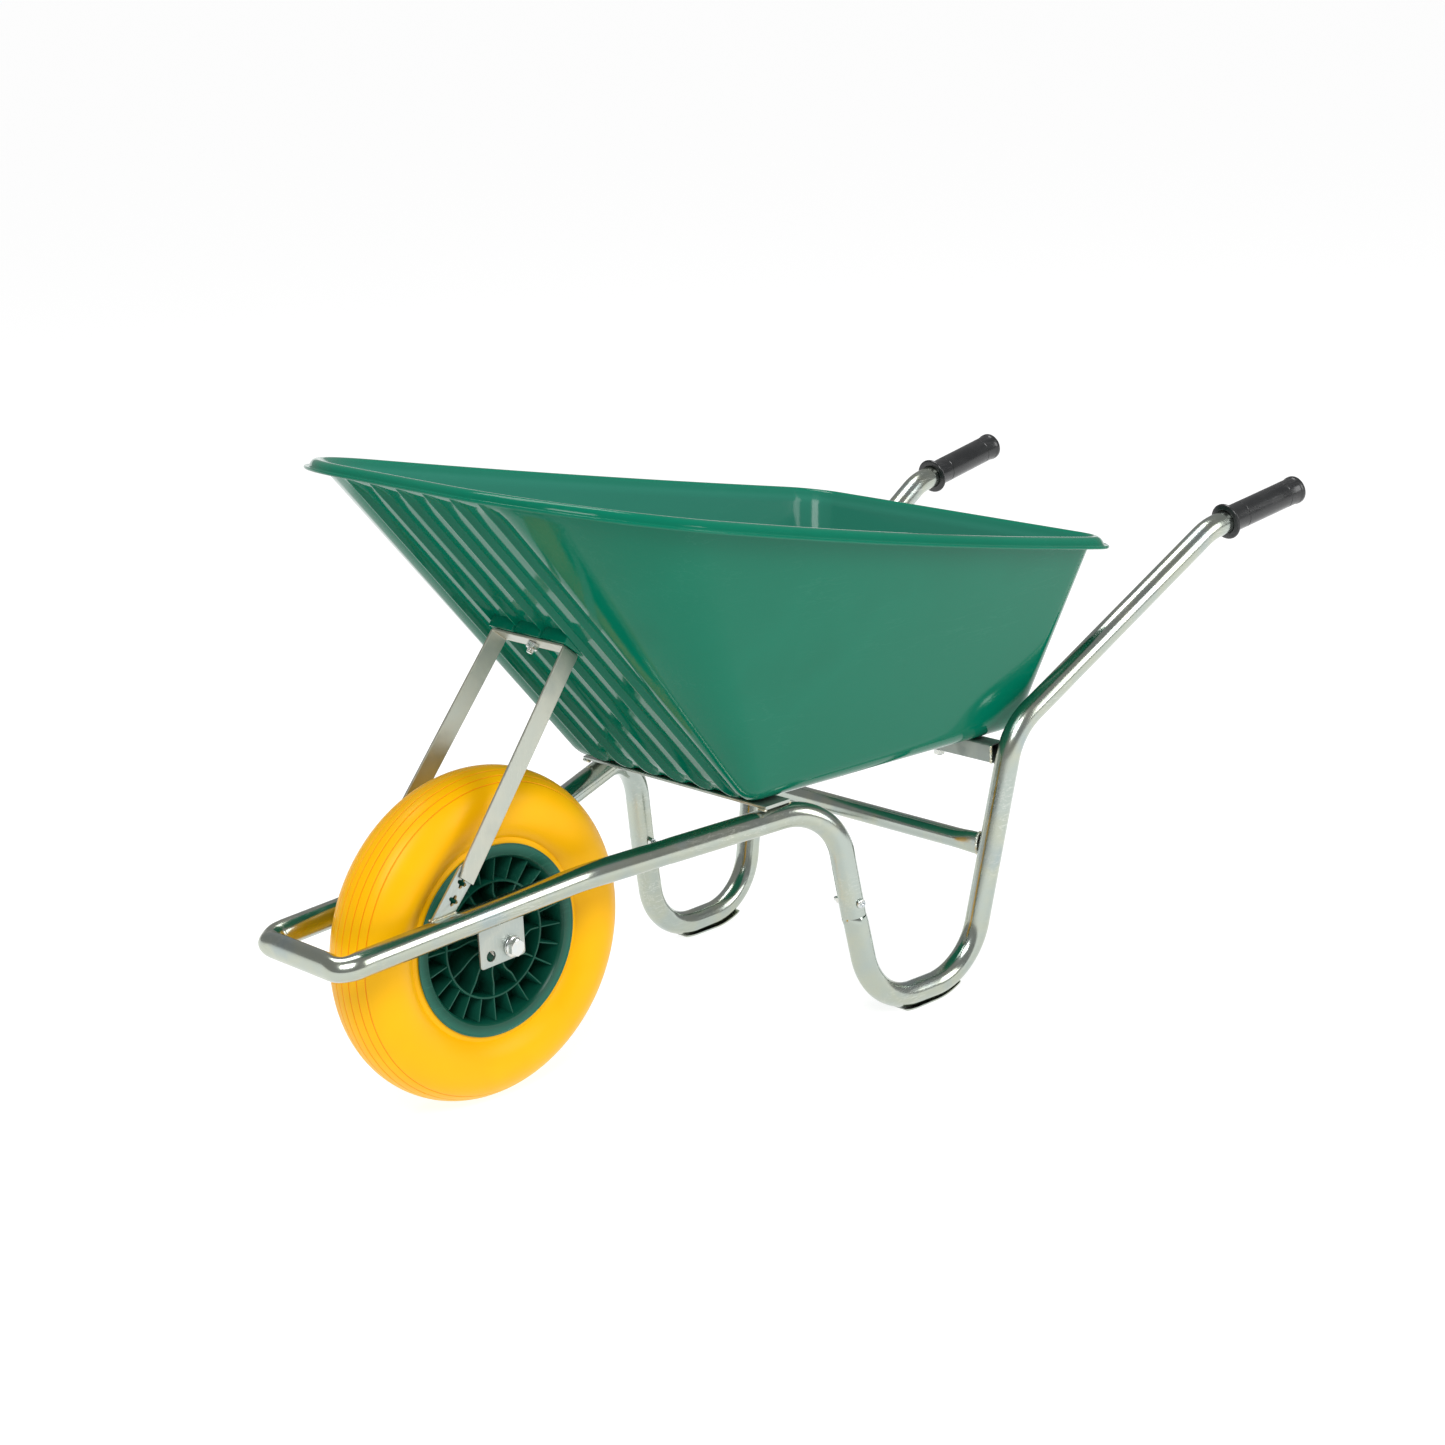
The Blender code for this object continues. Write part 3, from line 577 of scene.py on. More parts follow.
def bent_path(
    corners: Sequence[tuple[Point, float]], step: float = 3.0, spacing: float = 0.006
) -> np.ndarray:
    """Points along a bent tube's centre, with each bend as an arc.

    Args:
        corners: Corner points, each with its bend radius.
        step: Degrees between points in a bend.
        spacing: Distance between points on a straight.

    Returns:
        The points.
    """
    path = [Vector(corners[0][0])]
    for (before, _), (corner, radius), (after, _) in zip(corners, corners[1:], corners[2:]):
        corner = Vector(corner)
        back, ahead = (Vector(before) - corner).normalized(), (Vector(after) - corner).normalized()
        turn = math.pi - back.angle(ahead)
        middle = corner + (back + ahead).normalized() * radius / math.cos(turn / 2)
        start = corner + back * radius * math.tan(turn / 2) - middle
        count = max(3, math.ceil(math.degrees(turn) / step))
        add_straight(path, middle + start, spacing)
        for index in range(1, count + 1):
            path.append(middle + Matrix.Rotation(-turn * index / count, 3, back.cross(ahead)) @ start)
    add_straight(path, Vector(corners[-1][0]), spacing)
    return array(path)


def add_straight(path: list[Vector], end: Vector, spacing: float) -> None:
    """Carries a path on to a point in even steps."""
    start = path[-1]
    count = max(1, round((end - start).length / spacing))
    path += [start.lerp(end, index / count) for index in range(1, count + 1)]


def other_side(corners: Iterable[tuple[Point, float]]) -> list[tuple[Point, float]]:
    """Mirrors corners to the other side of the barrow."""
    return [((x, -y, z), radius) for (x, y, z), radius in corners]


def toward(start: Sequence[float], end: Sequence[float], distance: float) -> Vector:
    """A point on the line from start to end, at a distance from start."""
    start, end = Vector(start), Vector(end)
    return start + (end - start).normalized() * distance


def rail_z(x: float) -> float:
    """Height of a rail's centre, on the straight between its two bends."""
    (low_x, _, low_z), (high_x, _, high_z) = NOSE, RAIL_BEND
    return low_z + (x - low_x) * (high_z - low_z) / (high_x - low_x)


def on_side(point: Sequence[float], side: int) -> Vector:
    """The point, given for the right-hand side, on either side."""
    return Vector((point[0], side * point[1], point[2]))


# ------------------------------------------------------------------ geometry nodes


class Growers:
    """Geometry Nodes trees for what follows a path or repeats round the axle."""

    def __init__(self) -> None:
        """Builds the three trees."""
        self.tube = self.make_tube()
        self.spokes = self.make_spokes()
        self.bead = self.make_bead()

    def make_tube(self) -> bpy.types.NodeTree:
        """A round bar along the edges of a mesh.

        Returns:
            The tree, with the inputs Radius and Sides.
        """
        inputs = [
            ("Path", "NodeSocketGeometry", None),
            ("Radius", "NodeSocketFloat", 0.015),
            ("Sides", "NodeSocketInt", 48),
            ("Material", "NodeSocketMaterial", None),
        ]
        tree, entry, leave = new_tree("tube", "GeometryNodeTree", inputs, [("Tube", "NodeSocketGeometry")])
        circle = add_node(
            tree,
            "GeometryNodeCurvePrimitiveCircle",
            {"Resolution": entry.outputs["Sides"], "Radius": entry.outputs["Radius"]},
        )
        curve = add_node(tree, "GeometryNodeMeshToCurve", {0: entry.outputs["Path"]})
        swept = {0: curve.outputs[0], 1: circle.outputs[0], "Fill Caps": True}
        self.close(tree, add_node(tree, "GeometryNodeCurveToMesh", swept).outputs[0], entry, leave)
        return tree

    def make_spokes(self) -> bpy.types.NodeTree:
        """Copies of one mesh turned round the Y axis.

        Returns:
            The tree, with the inputs Count and Phase.
        """
        inputs = [
            ("Spoke", "NodeSocketGeometry", None),
            ("Count", "NodeSocketInt", 12),
            ("Phase", "NodeSocketFloat", 0.0),
            ("Material", "NodeSocketMaterial", None),
        ]
        tree, entry, leave = new_tree("spokes", "GeometryNodeTree", inputs, [("Wheel", "NodeSocketGeometry")])
        points = add_node(tree, "GeometryNodePoints", {"Count": entry.outputs["Count"]})
        index = add_node(tree, "GeometryNodeInputIndex").outputs[0]
        share = math_node(tree, "DIVIDE", index, entry.outputs["Count"])
        angle = math_node(tree, "ADD", math_node(tree, "MULTIPLY", share, math.tau), entry.outputs["Phase"])
        turn = add_node(tree, "ShaderNodeCombineXYZ", {"Y": angle}).outputs[0]
        copies = {"Points": points.outputs[0], "Instance": entry.outputs["Spoke"], "Rotation": turn}
        self.close(tree, add_node(tree, "GeometryNodeInstanceOnPoints", copies).outputs[0], entry, leave)
        return tree

    def make_bead(self) -> bpy.types.NodeTree:
        """Uneven droplets of weld along the edges of a mesh.

        Returns:
            The tree, with the inputs Radius and Pitch.
        """
        inputs = [
            ("Path", "NodeSocketGeometry", None),
            ("Radius", "NodeSocketFloat", 0.002),
            ("Pitch", "NodeSocketFloat", 0.0018),
            ("Material", "NodeSocketMaterial", None),
        ]
        outputs = [("Bead", "NodeSocketGeometry")]
        tree, entry, leave = new_tree("weld_bead", "GeometryNodeTree", inputs, outputs)
        curve = add_node(tree, "GeometryNodeMeshToCurve", {0: entry.outputs["Path"]})
        even = add_node(
            tree,
            "GeometryNodeResampleCurve",
            {"Curve": curve.outputs[0], "Length": entry.outputs["Pitch"]},
            mode="LENGTH",
        )
        drop = add_node(
            tree, "GeometryNodeMeshIcoSphere", {"Radius": entry.outputs["Radius"], "Subdivisions": 2}
        )
        size = add_node(tree, "FunctionNodeRandomValue", {"Seed": 5}, data_type="FLOAT_VECTOR")
        size.inputs[0].default_value = (0.80, 0.80, 0.75)
        size.inputs[1].default_value = (1.15, 1.15, 1.05)
        copies = {"Points": even.outputs[0], "Instance": drop.outputs[0], "Scale": size.outputs[0]}
        self.close(tree, add_node(tree, "GeometryNodeInstanceOnPoints", copies).outputs[0], entry, leave)
        return tree

    def close(
        self,
        tree: bpy.types.NodeTree,
        shape: bpy.types.NodeSocket,
        entry: bpy.types.Node,
        leave: bpy.types.Node,
    ) -> None:
        """Ends a tree in real geometry with its material."""
        real = add_node(tree, "GeometryNodeRealizeInstances", {0: shape}).outputs[0]
        dressed = {"Geometry": real, "Material": entry.outputs["Material"]}
        tree.links.new(add_node(tree, "GeometryNodeSetMaterial", dressed).outputs[0], leave.inputs[0])

    def grow(self, tree: bpy.types.NodeTree, source: bpy.types.Mesh, **values: Any) -> bpy.types.Mesh:
        """Runs a tree on a mesh and returns the plain result.

        Args:
            tree: One of the trees.
            source: The mesh that it starts from.
            **values: Its inputs by name, in lower case.

        Returns:
            The new mesh.
        """
        holder = bpy.data.objects.new(source.name, source)
        bpy.context.scene.collection.objects.link(holder)
        modifier = holder.modifiers.new("grow", "NODES")
        modifier.node_group = tree
        for item in tree.interface.items_tree:
            if item.in_out == "INPUT" and item.name.lower() in values:
                modifier[item.identifier] = values[item.name.lower()]
        graph = bpy.context.evaluated_depsgraph_get()
        result = bpy.data.meshes.new_from_object(holder.evaluated_get(graph))
        holder.modifiers.remove(modifier)
        bpy.data.objects.remove(holder)
        return result

    def tube_along(self, path: np.ndarray, radius: float, sides: int = 48) -> np.ndarray:
        """Rings of points round a path.

        Args:
            path: The path's points.
            radius: The tube's radius.
            sides: Points round each ring.

        Returns:
            The rings, shaped (path points, sides, 3).
        """
        line = bpy.data.meshes.new("tube_line")
        line.from_pydata(path.tolist(), [(i, i + 1) for i in range(len(path) - 1)], [])
        mesh = self.grow(self.tube, line, radius=radius, sides=sides)
        return array(vertex.co for vertex in mesh.vertices).reshape(len(path), sides, 3)

    def bead_along(self, loops: Sequence[np.ndarray], radius: float = 0.0021, pitch: float = 0.0018):
        """A weld bead along open paths.

        Args:
            loops: The paths.
            radius: The size of a droplet.
            pitch: The distance between droplets.

        Returns:
            The bead's mesh.
        """
        points: list[list[float]] = []
        edges: list[tuple[int, int]] = []
        for loop in loops:
            edges += [(len(points) + i, len(points) + i + 1) for i in range(len(loop) - 1)]
            points += loop.tolist()
        line = bpy.data.meshes.new("bead_line")
        line.from_pydata(points, edges, [])
        return self.grow(self.bead, line, radius=radius, pitch=pitch)


# ------------------------------------------------------------------ tray


@dataclass
class Tray:
    """The moulded tray: ribbed front panel, rolled lip and the lug that the brace is bolted to."""

    shop: Workshop
    grow: Growers
    floor_z: float = 0.2975
    wall: float = 0.0035
    fillet: float = 0.030
    lip: float = 0.0235
    recess: float = 0.0074
    ribs: tuple[float, ...] = (-0.1138, -0.0683, -0.0228, 0.0228, 0.0683, 0.1138)
    brace_top: Point = BRACE_TOP
    brace_along: Point = BRACE_ALONG
    panel_half: float = 0.142
    lug_depth: float = 0.034
    front_bolts: Pair = (0.337, 0.085)
    rear_bolts: Pair = (0.6612, 0.105)

    def plan(self, numbers: Sequence[float]) -> list[np.ndarray]:
        """The right-hand half of a plan outline, as three dense curves.

        Args:
            numbers: Front x, rear x, half widths at front and rear, bow, and the corner sizes.

        Returns:
            The front corner, the side and the rear corner, each as points in x and y.
        """
        front, rear, front_half, rear_half, bow, front_radius, rear_radius = numbers

        def side_y(x: Any) -> Any:
            run = (x - front) / (rear - front)
            return front_half + (rear_half - front_half) * run + bow * 4 * run * (1 - run)

        def corner(first: Pair, tip: Pair, last: Pair) -> np.ndarray:
            t = np.linspace(0.0, 1.0, 49)[:, None]
            first, tip, last = np.array(first), np.array(tip), np.array(last)
            inner, outer = first + (tip - first) * 0.5523, last + (tip - last) * 0.5523
            rest = 1 - t
            return first * rest**3 + inner * 3 * rest**2 * t + outer * 3 * rest * t**2 + last * t**3

        first_x, last_x = front + front_radius, rear - rear_radius
        along = np.linspace(first_x, last_x, 81)
        head = corner((front, front_half - front_radius), (front, front_half), (first_x, side_y(first_x)))
        tail = corner((last_x, side_y(last_x)), (rear, rear_half), (rear, rear_half - rear_radius))
        return [head, np.column_stack([along, side_y(along)]), tail]

    def floor_plan(self, inset: float) -> list[np.ndarray]:
        """The outline at the floor, drawn in by an inset."""
        radii = (max(0.020 - inset, 0.006), max(0.045 - inset, 0.010))
        sizes = (0.292 + inset, 0.735 - inset, 0.1525 - inset, 0.190 - inset, 0.0)
        return self.plan((*sizes, *radii))

    def rim_plan(self, out: float) -> list[np.ndarray]:
        """The outline at the lip, spread out by a distance."""
        sizes = (-0.0545 - out, 0.8075 + out, 0.2590 + out, 0.2430 + out, 0.0258)
        return self.plan((*sizes, 0.1745 + out, 0.0395 + out))

    def rim_z(self, x: Any) -> Any:
        """Height of the underside of the lip, which sags a little between its ends."""
        low, high = -0.0545 - self.lip, 0.8075 + self.lip
        return 0.6987 - 0.2188 * x + 0.0312 * (x - low) * (x - high)

    def panel_stations(self) -> np.ndarray:
        """Places across the front panel, crowded round each rib."""
        half = np.array([0.0014, 0.0022, 0.0030, 0.0040, 0.0050, 0.0068])
        near = np.concatenate([-half[::-1], [0.0], half])
        places = np.concatenate([near + rib for rib in self.ribs if rib > 0] + [np.linspace(0.0, 0.142, 13)])
        places = np.sort(places[places >= 0])
        return places[np.concatenate([[True], np.diff(places) > 0.0006])]

    def ring(self, parts: list[np.ndarray]) -> np.ndarray:
        """Lays the whole outline through fixed stations.

        Args:
            parts: The right-hand half's three curves.

        Returns:
            Points round the tray, starting in the middle of the front.
        """
        head = np.concatenate([[[parts[0][0, 0], 0.0]], parts[0]])
        anchor = min(self.panel_half, head[-1, 1] - 0.002)
        panel = self.panel_stations()
        keep = min(0.1212, anchor - 0.004)
        spare = (panel - keep) * (anchor - keep) / (self.panel_half - keep)
        panel = np.where(panel > keep, keep + spare, panel)
        half = [np.column_stack([np.interp(panel, head[:, 1], head[:, 0]), panel])]
        corner = np.concatenate([half[0][-1:], head[head[:, 1] > anchor + 1e-6]])
        for part, count in ((corner, 22), (parts[1], 34), (parts[2], 16)):
            run = np.concatenate([[0.0], np.cumsum(np.linalg.norm(np.diff(part, axis=0), axis=1))])
            at = np.linspace(0.0, run[-1], count + 1)[1:]
            half.append(np.column_stack([np.interp(at, run, part[:, axis]) for axis in (0, 1)]))
        end = parts[2][-1]
        across = np.linspace(end[1], 0.0, 9)[1:]
        half.append(np.column_stack([np.full(8, end[0]), across]))
        right = np.concatenate(half)
        return np.concatenate([right, (right * (1, -1))[-2:0:-1]])

    def panel_places(self, columns: int) -> np.ndarray:
        """Each column's place across the front panel, or a metre where it lies elsewhere.

        Args:
            columns: The number of points in a ring.

        Returns:
            The places, with their signs.
        """
        panel = self.panel_stations()
        places = np.full(columns, 1.0)
        places[: len(panel)] = panel
        places[columns - len(panel) + 1 :] = -panel[:0:-1]
        return places

    def relief(self, y: np.ndarray) -> np.ndarray:
        """How far the panel is drawn in, from 1 between ribs to 0 on a rib's crest."""
        depth = 1.0 - softened(np.abs(y), 0.120, 0.142)
        for rib in self.ribs:
            away = np.abs(np.asarray(y) - rib)
            crest = 1.0 - np.interp(away, (0.0013, 0.0026, 0.0050), (0.0, 0.58, 1.0))
            depth = depth * (1.0 - crest)
        return depth

    def skin(self, inner: bool) -> np.ndarray:
        """The rings of one face of the wall, from the floor up to the root of the lip.

        Args:
            inner: True for the face inside the tray.

        Returns:
            The rings.
        """
        corner = self.ring(self.floor_plan(0.0))
        inset = self.ring(self.floor_plan(self.fillet))
        top = self.ring(self.rim_plan(0.0))
        floor = np.column_stack([corner, np.full(len(corner), self.floor_z)])
        inside = np.column_stack([inset, np.full(len(inset), self.floor_z)])
        high = np.column_stack([top, self.rim_z(top[:, 0])])
        length = np.linalg.norm(high - floor, axis=1, keepdims=True)
        raised = floor + (high - floor) / length * self.fillet
        middle = np.array([0.5135, 0.0, self.floor_z])
        rings = [middle + (inside - middle) * share for share in (0.25, 0.6, 0.9)]
        rings += [
            (inside * (1 - t) + floor * t) * (1 - t) + (floor * (1 - t) + raised * t) * t
            for t in np.linspace(0.0, 1.0, 11)
        ]
        rings += [raised + (high - raised) * t for t in np.linspace(0.0, 1.0, 29)[1:]]
        shape = np.array(rings)
        normal = self.normals(shape)
        y = np.broadcast_to(self.panel_places(shape.shape[1]), shape.shape[:2])
        level = np.linspace(0.0, 1.0, len(rings))[:, None]
        fade = softened(level, 4 / 41, 10 / 41) * (1.0 - softened(level, 0.965, 0.995))
        pull = self.recess * self.relief(y) * fade
        if inner:
            pull = self.recess * (1.0 - softened(np.abs(y), 0.120, 0.142)) * fade + self.wall
        shape = shape - normal * pull[..., None]
        return shape

    def normals(self, shape: np.ndarray) -> np.ndarray:
        """Outward directions at each point of a grid of rings."""
        round_it = np.roll(shape, -1, axis=1) - np.roll(shape, 1, axis=1)
        up = np.gradient(shape, axis=0)
        normal = np.cross(up, round_it)
        normal /= np.maximum(np.linalg.norm(normal, axis=2, keepdims=True), 1e-12)
        normal[:4] = (0.0, 0.0, -1.0)
        return normal

    def build(self) -> None:
        """Builds the tray as one closed shell."""
        outside, inside = self.skin(False), self.skin(True)
        lip_profile = (
            (0.0006, 0.0060), (0.0018, 0.0094), (0.0040, 0.0120), (0.0070, 0.0132), (0.0105, 0.0130),
            (0.0136, 0.0113), (0.0160, 0.0085), (0.0176, 0.0056), (0.0184, 0.0040), (0.0192, 0.0033),
            (0.0204, 0.0032), (0.0212, 0.0036), (0.0226, 0.0038), (0.0236, 0.0034), (0.0241, 0.0022),
            (0.0240, 0.0008), (0.0232, 0.0), (0.0200, 0.0), (0.0160, 0.0002), (0.0150, 0.0012),
            (0.0146, 0.0034), (0.0130, 0.0080), (0.0105, 0.0098), (0.0070, 0.0100), (0.0045, 0.0085),
            (0.0020, 0.0050),
        )
        lip = []
        for out, up in lip_profile:
            flat = self.ring(self.rim_plan(out))
            lip.append(np.column_stack([flat, self.rim_z(flat[:, 0]) + up]))
        rings = np.concatenate([inside, np.array(lip), outside[::-1]])
        count = len(inside)
        # Painted reflection: the inner faces take 0.85 of the paler inside colour, the lip's first two rings
        # 0.5.
        marks = np.zeros(rings.shape[:2])
        marks[:count] = 0.85
        marks[count : count + 2] = 0.5
        form = Form()
        form.loft(rings, Ends.CAPPED, marks)
        self.add_lug(form, outside)
        mesh = form.mesh("tray", "inside")
        self.shop.finish("tray_shell", mesh, Surface.TRAY, ["tray"], sharp=50.0)

    def add_lug(self, form: Form, outside: np.ndarray) -> None:
        """Adds the lug's blocks between the ribs, and the washer's seat inside the tray.

        Args:
            form: The shell that takes them.
            outside: The outer face's rings; not used.
        """
        foot, top = Vector((0.292, 0.0, self.floor_z)), Vector((-0.0545, 0.0, self.rim_z(-0.0545)))
        slope = (top - foot).normalized()
        inwards = Vector((0, 1, 0)).cross(slope).normalized()
        along = Vector(self.brace_along)
        across = along.cross(Vector((0, 1, 0)))
        seat = Vector(self.brace_top) + along * 0.0018
        plane = foot + inwards * (self.recess + 0.001)
        edge = 0.0012
        for low_y, high_y in ((-0.0660, -0.0245), (-0.0211, 0.0211), (0.0245, 0.0660)):
            rings = []
            stations = ((low_y, edge), (low_y + edge, 0.0), (high_y - edge, 0.0), (high_y, edge))
            for y, shrink in stations:
                section = []
                for reach in (-1, 1):
                    point = seat + across * (self.lug_depth / 2 - shrink) * reach + along * shrink
                    section.append(Vector((point.x, y, point.z)))
                for reach in (1, -1):
                    point = seat + across * (self.lug_depth / 2 - shrink) * reach
                    rise = (plane - point).dot(inwards) / along.dot(inwards)
                    point = point + along * rise
                    section.append(Vector((point.x, y, point.z)))
                rings.append(section)
            form.loft(array(point for ring in rings for point in ring).reshape(4, 4, 3))
        disc = (
            (0.0002, 0.004), (0.0118, 0.004), (0.0130, 0.0045), (0.0130, 0.0128), (0.0123, 0.0135),
            (0.0002, 0.0135),
        )
        # The washer's seat takes 0.3 of the inside mark's painted reflection.
        form.loft(turned(disc, upright(self.brace_top, along), 48), mark=0.3)


# ------------------------------------------------------------------ frame


@dataclass
class TubeFrame:
    """The bent front frame, the leg loops with their handles, and what is welded across them."""

    shop: Workshop
    grow: Growers
    radius: float = 0.015
    neck: float = 0.0127
    neck_length: float = 0.055
    shoulder: Pair = (0.0008, 0.0022)
    nose: Point = NOSE
    rail_bend: Point = RAIL_BEND
    crest: Point = (0.3985, 0.1740, 0.2842)
    sleeve_end: Point = (0.4185, 0.1840, 0.1400)
    leg_down: Point = (0.4405, 0.1915, 0.0178)
    leg_up: Point = (0.6035, 0.1975, 0.0178)
    leg_bend: float = 0.080
    handle_low: Point = (0.6705, 0.2170, 0.3160)
    handle_high: Point = (1.0160, 0.24888, 0.50556)
    grip_start: Point = (1.0490, 0.2513, 0.5104)
    grip_end: Point = (1.1840, 0.2612, 0.5302)
    bolt_up: float = 0.017
    square: float = 0.024
    floor_z: float = 0.2975

    def build(self) -> None:
        """Builds every piece of the tube frame."""
        self.build_front()
        for side, name in SIDES:
            self.build_leg(side, name)
            self.build_shoe(side, name)
        self.build_cross_members()

    def build_front(self) -> None:
        """The front frame, flattened along the nose bar and pinched at its corners."""
        half = [(self.sleeve_end, 0.0), (self.crest, 0.070), (self.rail_bend, 0.120), (self.nose, 0.024)]
        path = bent_path(half + other_side(reversed(half)))
        rings = self.grow.tube_along(path, self.radius)
        centre = path[:, None, :]
        off = rings - centre
        front = softened(-path[:, 0], 0.205, 0.232)[:, None]
        bar = 1.0 - softened(np.abs(path[:, 1]), 0.046, 0.066)[:, None]
        off[..., 0] = np.where(off[..., 0] < 0, off[..., 0] * (1 - 0.34 * front * bar), off[..., 0])
        pinch = bump(np.abs(path[:, 1]), 0.0655, 0.012)[:, None] * front
        above = np.clip(off[..., 2] / self.radius, 0.0, 1.0)
        inner = np.clip(off[..., 0] / self.radius, -0.2, 1.0)
        off = off * (1 - 0.26 * pinch * above * (0.6 + 0.4 * inner))[..., None]
        ripple = sum(bump(np.abs(path[:, 1]), 0.058 + 0.0065 * step, 0.0019) for step in range(3))[:, None]
        off = off * (1 - 0.13 * ripple * front * np.clip(inner, 0, 1))[..., None]
        corner = bump(np.abs(path[:, 1]), 0.0700, 0.0085)[:, None] * front
        forward = np.clip(-off[..., 0] / self.radius, 0.0, 1.0)
        lower = forward * np.clip(0.35 - off[..., 2] / self.radius, 0.0, 1.0)
        off = off * (1 - 0.17 * corner * forward + 0.16 * corner * lower)[..., None]
        tool = bump(path[:, 0], 0.178, 0.006)[:, None] + bump(path[:, 0], 0.192, 0.004)[:, None]
        off = off * (1 - 0.035 * tool)[..., None]
        heat = np.zeros(rings.shape[:2])
        spots = ((0.325, 0.030), (-0.0140, 0.030), (-0.098, 0.022), (0.4185, 0.012))
        for place, width in spots:
            heat += 0.55 * bump(path[:, 0], place, width)[:, None]
        form = Form()
        form.loft(self.hollow(centre + off, path, 0.0015), Ends.LOOPED, np.clip(self.both(heat), 0, 1))
        mesh = form.mesh("front_frame", "heat")
        self.shop.finish("front_frame_tube", mesh, Surface.ZINC, ["front_frame"], sharp=40.0)

    def both(self, marks: np.ndarray) -> np.ndarray:
        """Marks for the outer face and then the inner one."""
        return np.concatenate([marks, marks[::-1]])

    def hollow(self, rings: np.ndarray, path: np.ndarray, wall: float) -> np.ndarray:
        """Adds the inner face of a tube, so that its ends are open.

        Args:
            rings: The outer rings.
            path: Their centres.
            wall: The wall's thickness.

        Returns:
            The outer rings followed by the inner ones in reverse.
        """
        off = rings - path[:, None, :]
        size = np.linalg.norm(off, axis=2, keepdims=True)
        inner = path[:, None, :] + off * (1 - wall / size)
        return np.concatenate([rings, inner[::-1]])

    def build_leg(self, side: int, name: str) -> None:
        """A leg loop and handle in one tube.

        Args:
            side: -1 for left and 1 for right.
            name: The side's name.
        """
        top, crest = on_side(self.sleeve_end, side), on_side(self.crest, side)
        corners = [
            (toward(top, crest, self.neck_length), 0.0),
            (tuple(on_side(self.leg_down, side)), self.leg_bend),
            (tuple(on_side(self.leg_up, side)), self.leg_bend),
            (tuple(on_side(self.handle_low, side)), 0.080),
            (tuple(on_side(self.handle_high, side)), 0.080),
            (toward(on_side(self.grip_end, side), on_side(self.grip_start, side), 0.004), 0.0),
        ]
        path = bent_path(corners)
        low = -self.shoulder[1]
        direction = (crest - top).normalized()
        rise = (path - np.array(top)) @ np.array(direction)
        below = int(np.argmax(rise < low))
        steps = [tuple(top + direction * (low + size)) for size in (self.shoulder[1] - self.shoulder[0], 0.0)]
        keep = path[:below][rise[:below] > -self.shoulder[0] + 0.001]
        path = np.concatenate([keep, array(steps), path[below + 1 :]])
        first = len(keep)
        rings = self.grow.tube_along(path, self.radius)
        share = np.ones(len(path))
        share[: first + 1] = self.neck / self.radius
        rings = path[:, None, :] + (rings - path[:, None, :]) * share[:, None, None]
        heat = 0.55 * bump(path[:, 2], 0.2855, 0.022) + 0.75 * bump(path[:, 2], 0.172, 0.020)
        heat = heat * softened(path[:, 0], 0.55, 0.58)
        marks = np.repeat(heat[:, None], rings.shape[1], axis=1)
        form = Form()
        form.loft(self.hollow(rings, path, 0.0015), Ends.LOOPED, self.both(marks))
        mesh = form.mesh(f"leg_{name}", "heat")
        self.shop.finish(f"leg_handle_{name}", mesh, Surface.ZINC, [f"leg_handle_tube_{name}"], sharp=40.0)

    def build_shoe(self, side: int, name: str) -> None:
        """The curved wear strip under a leg loop.

        Args:
            side: -1 for left and 1 for right.
            name: The side's name.
        """
        centre_z = self.leg_down[2] + self.leg_bend
        low_x = self.bend_end(self.sleeve_end, self.leg_down, self.leg_up)
        high_x = self.bend_end(self.handle_low, self.leg_up, self.leg_down)
        base = self.leg_bend + self.radius + 2 * GAP
        stations = [(low_x, angle) for angle in np.linspace(-14, 0, 9)]
        stations += [(high_x, angle) for angle in np.linspace(0, 27, 16)]
        lowest = centre_z - base - 0.0022
        y = side * (self.leg_down[1] + self.leg_up[1]) / 2
        rings = []
        for index, (x, degrees) in enumerate(stations):
            angle = math.radians(degrees)
            short = 0.0009 if index in (0, len(stations) - 1) else 0.0
            ring = []
            for reach, half in (
                (0.0, 0.0100 - short), (0.0016, 0.0100 - short), (0.0022 - short, 0.0094 - short),
                (0.0022 - short, -0.0094 + short), (0.0016, -0.0100 + short), (0.0, -0.0100 + short),
            ):
                radius = base + reach
                height = centre_z - radius * math.cos(angle) - lowest
                ring.append((x + radius * math.sin(angle), y + half, height))
            rings.append(ring)
        form = Form()
        form.loft(np.array(rings))
        mesh = form.mesh(f"shoe_{name}", "heat")
        self.shop.finish(f"shoe_{name}", mesh, Surface.ZINC, [f"leg_shoe_{name}"])

    def bend_end(self, before: Point, corner: Point, after: Point) -> float:
        """X of the point where a leg bend meets the straight that follows."""
        back, ahead = Vector(before) - Vector(corner), Vector(after) - Vector(corner)
        reach = self.leg_bend * math.tan((math.pi - back.angle(ahead)) / 2)
        return (Vector(corner) + ahead.normalized() * reach).x

    def upright_at(self, z: float) -> Vector:
        """Centre of the right-hand upright at a height."""
        low, high = Vector(self.leg_up), Vector(self.handle_low)
        return low.lerp(high, (z - low.z) / (high.z - low.z))

    def build_cross_members(self) -> None:
        """The flat front plate, the square rear tube, the lower round tube, and their welds."""
        plate_z = self.floor_z - GAP - 0.002
        form = Form()
        form.loft(slab((0.325, 0.0, plate_z), (0.020, 0.159, 0.002), 0.0008))
        mesh = form.mesh("cross_plate", "edge")
        self.shop.finish("cross_plate", mesh, Surface.STRIP, ["front_cross_plate"])

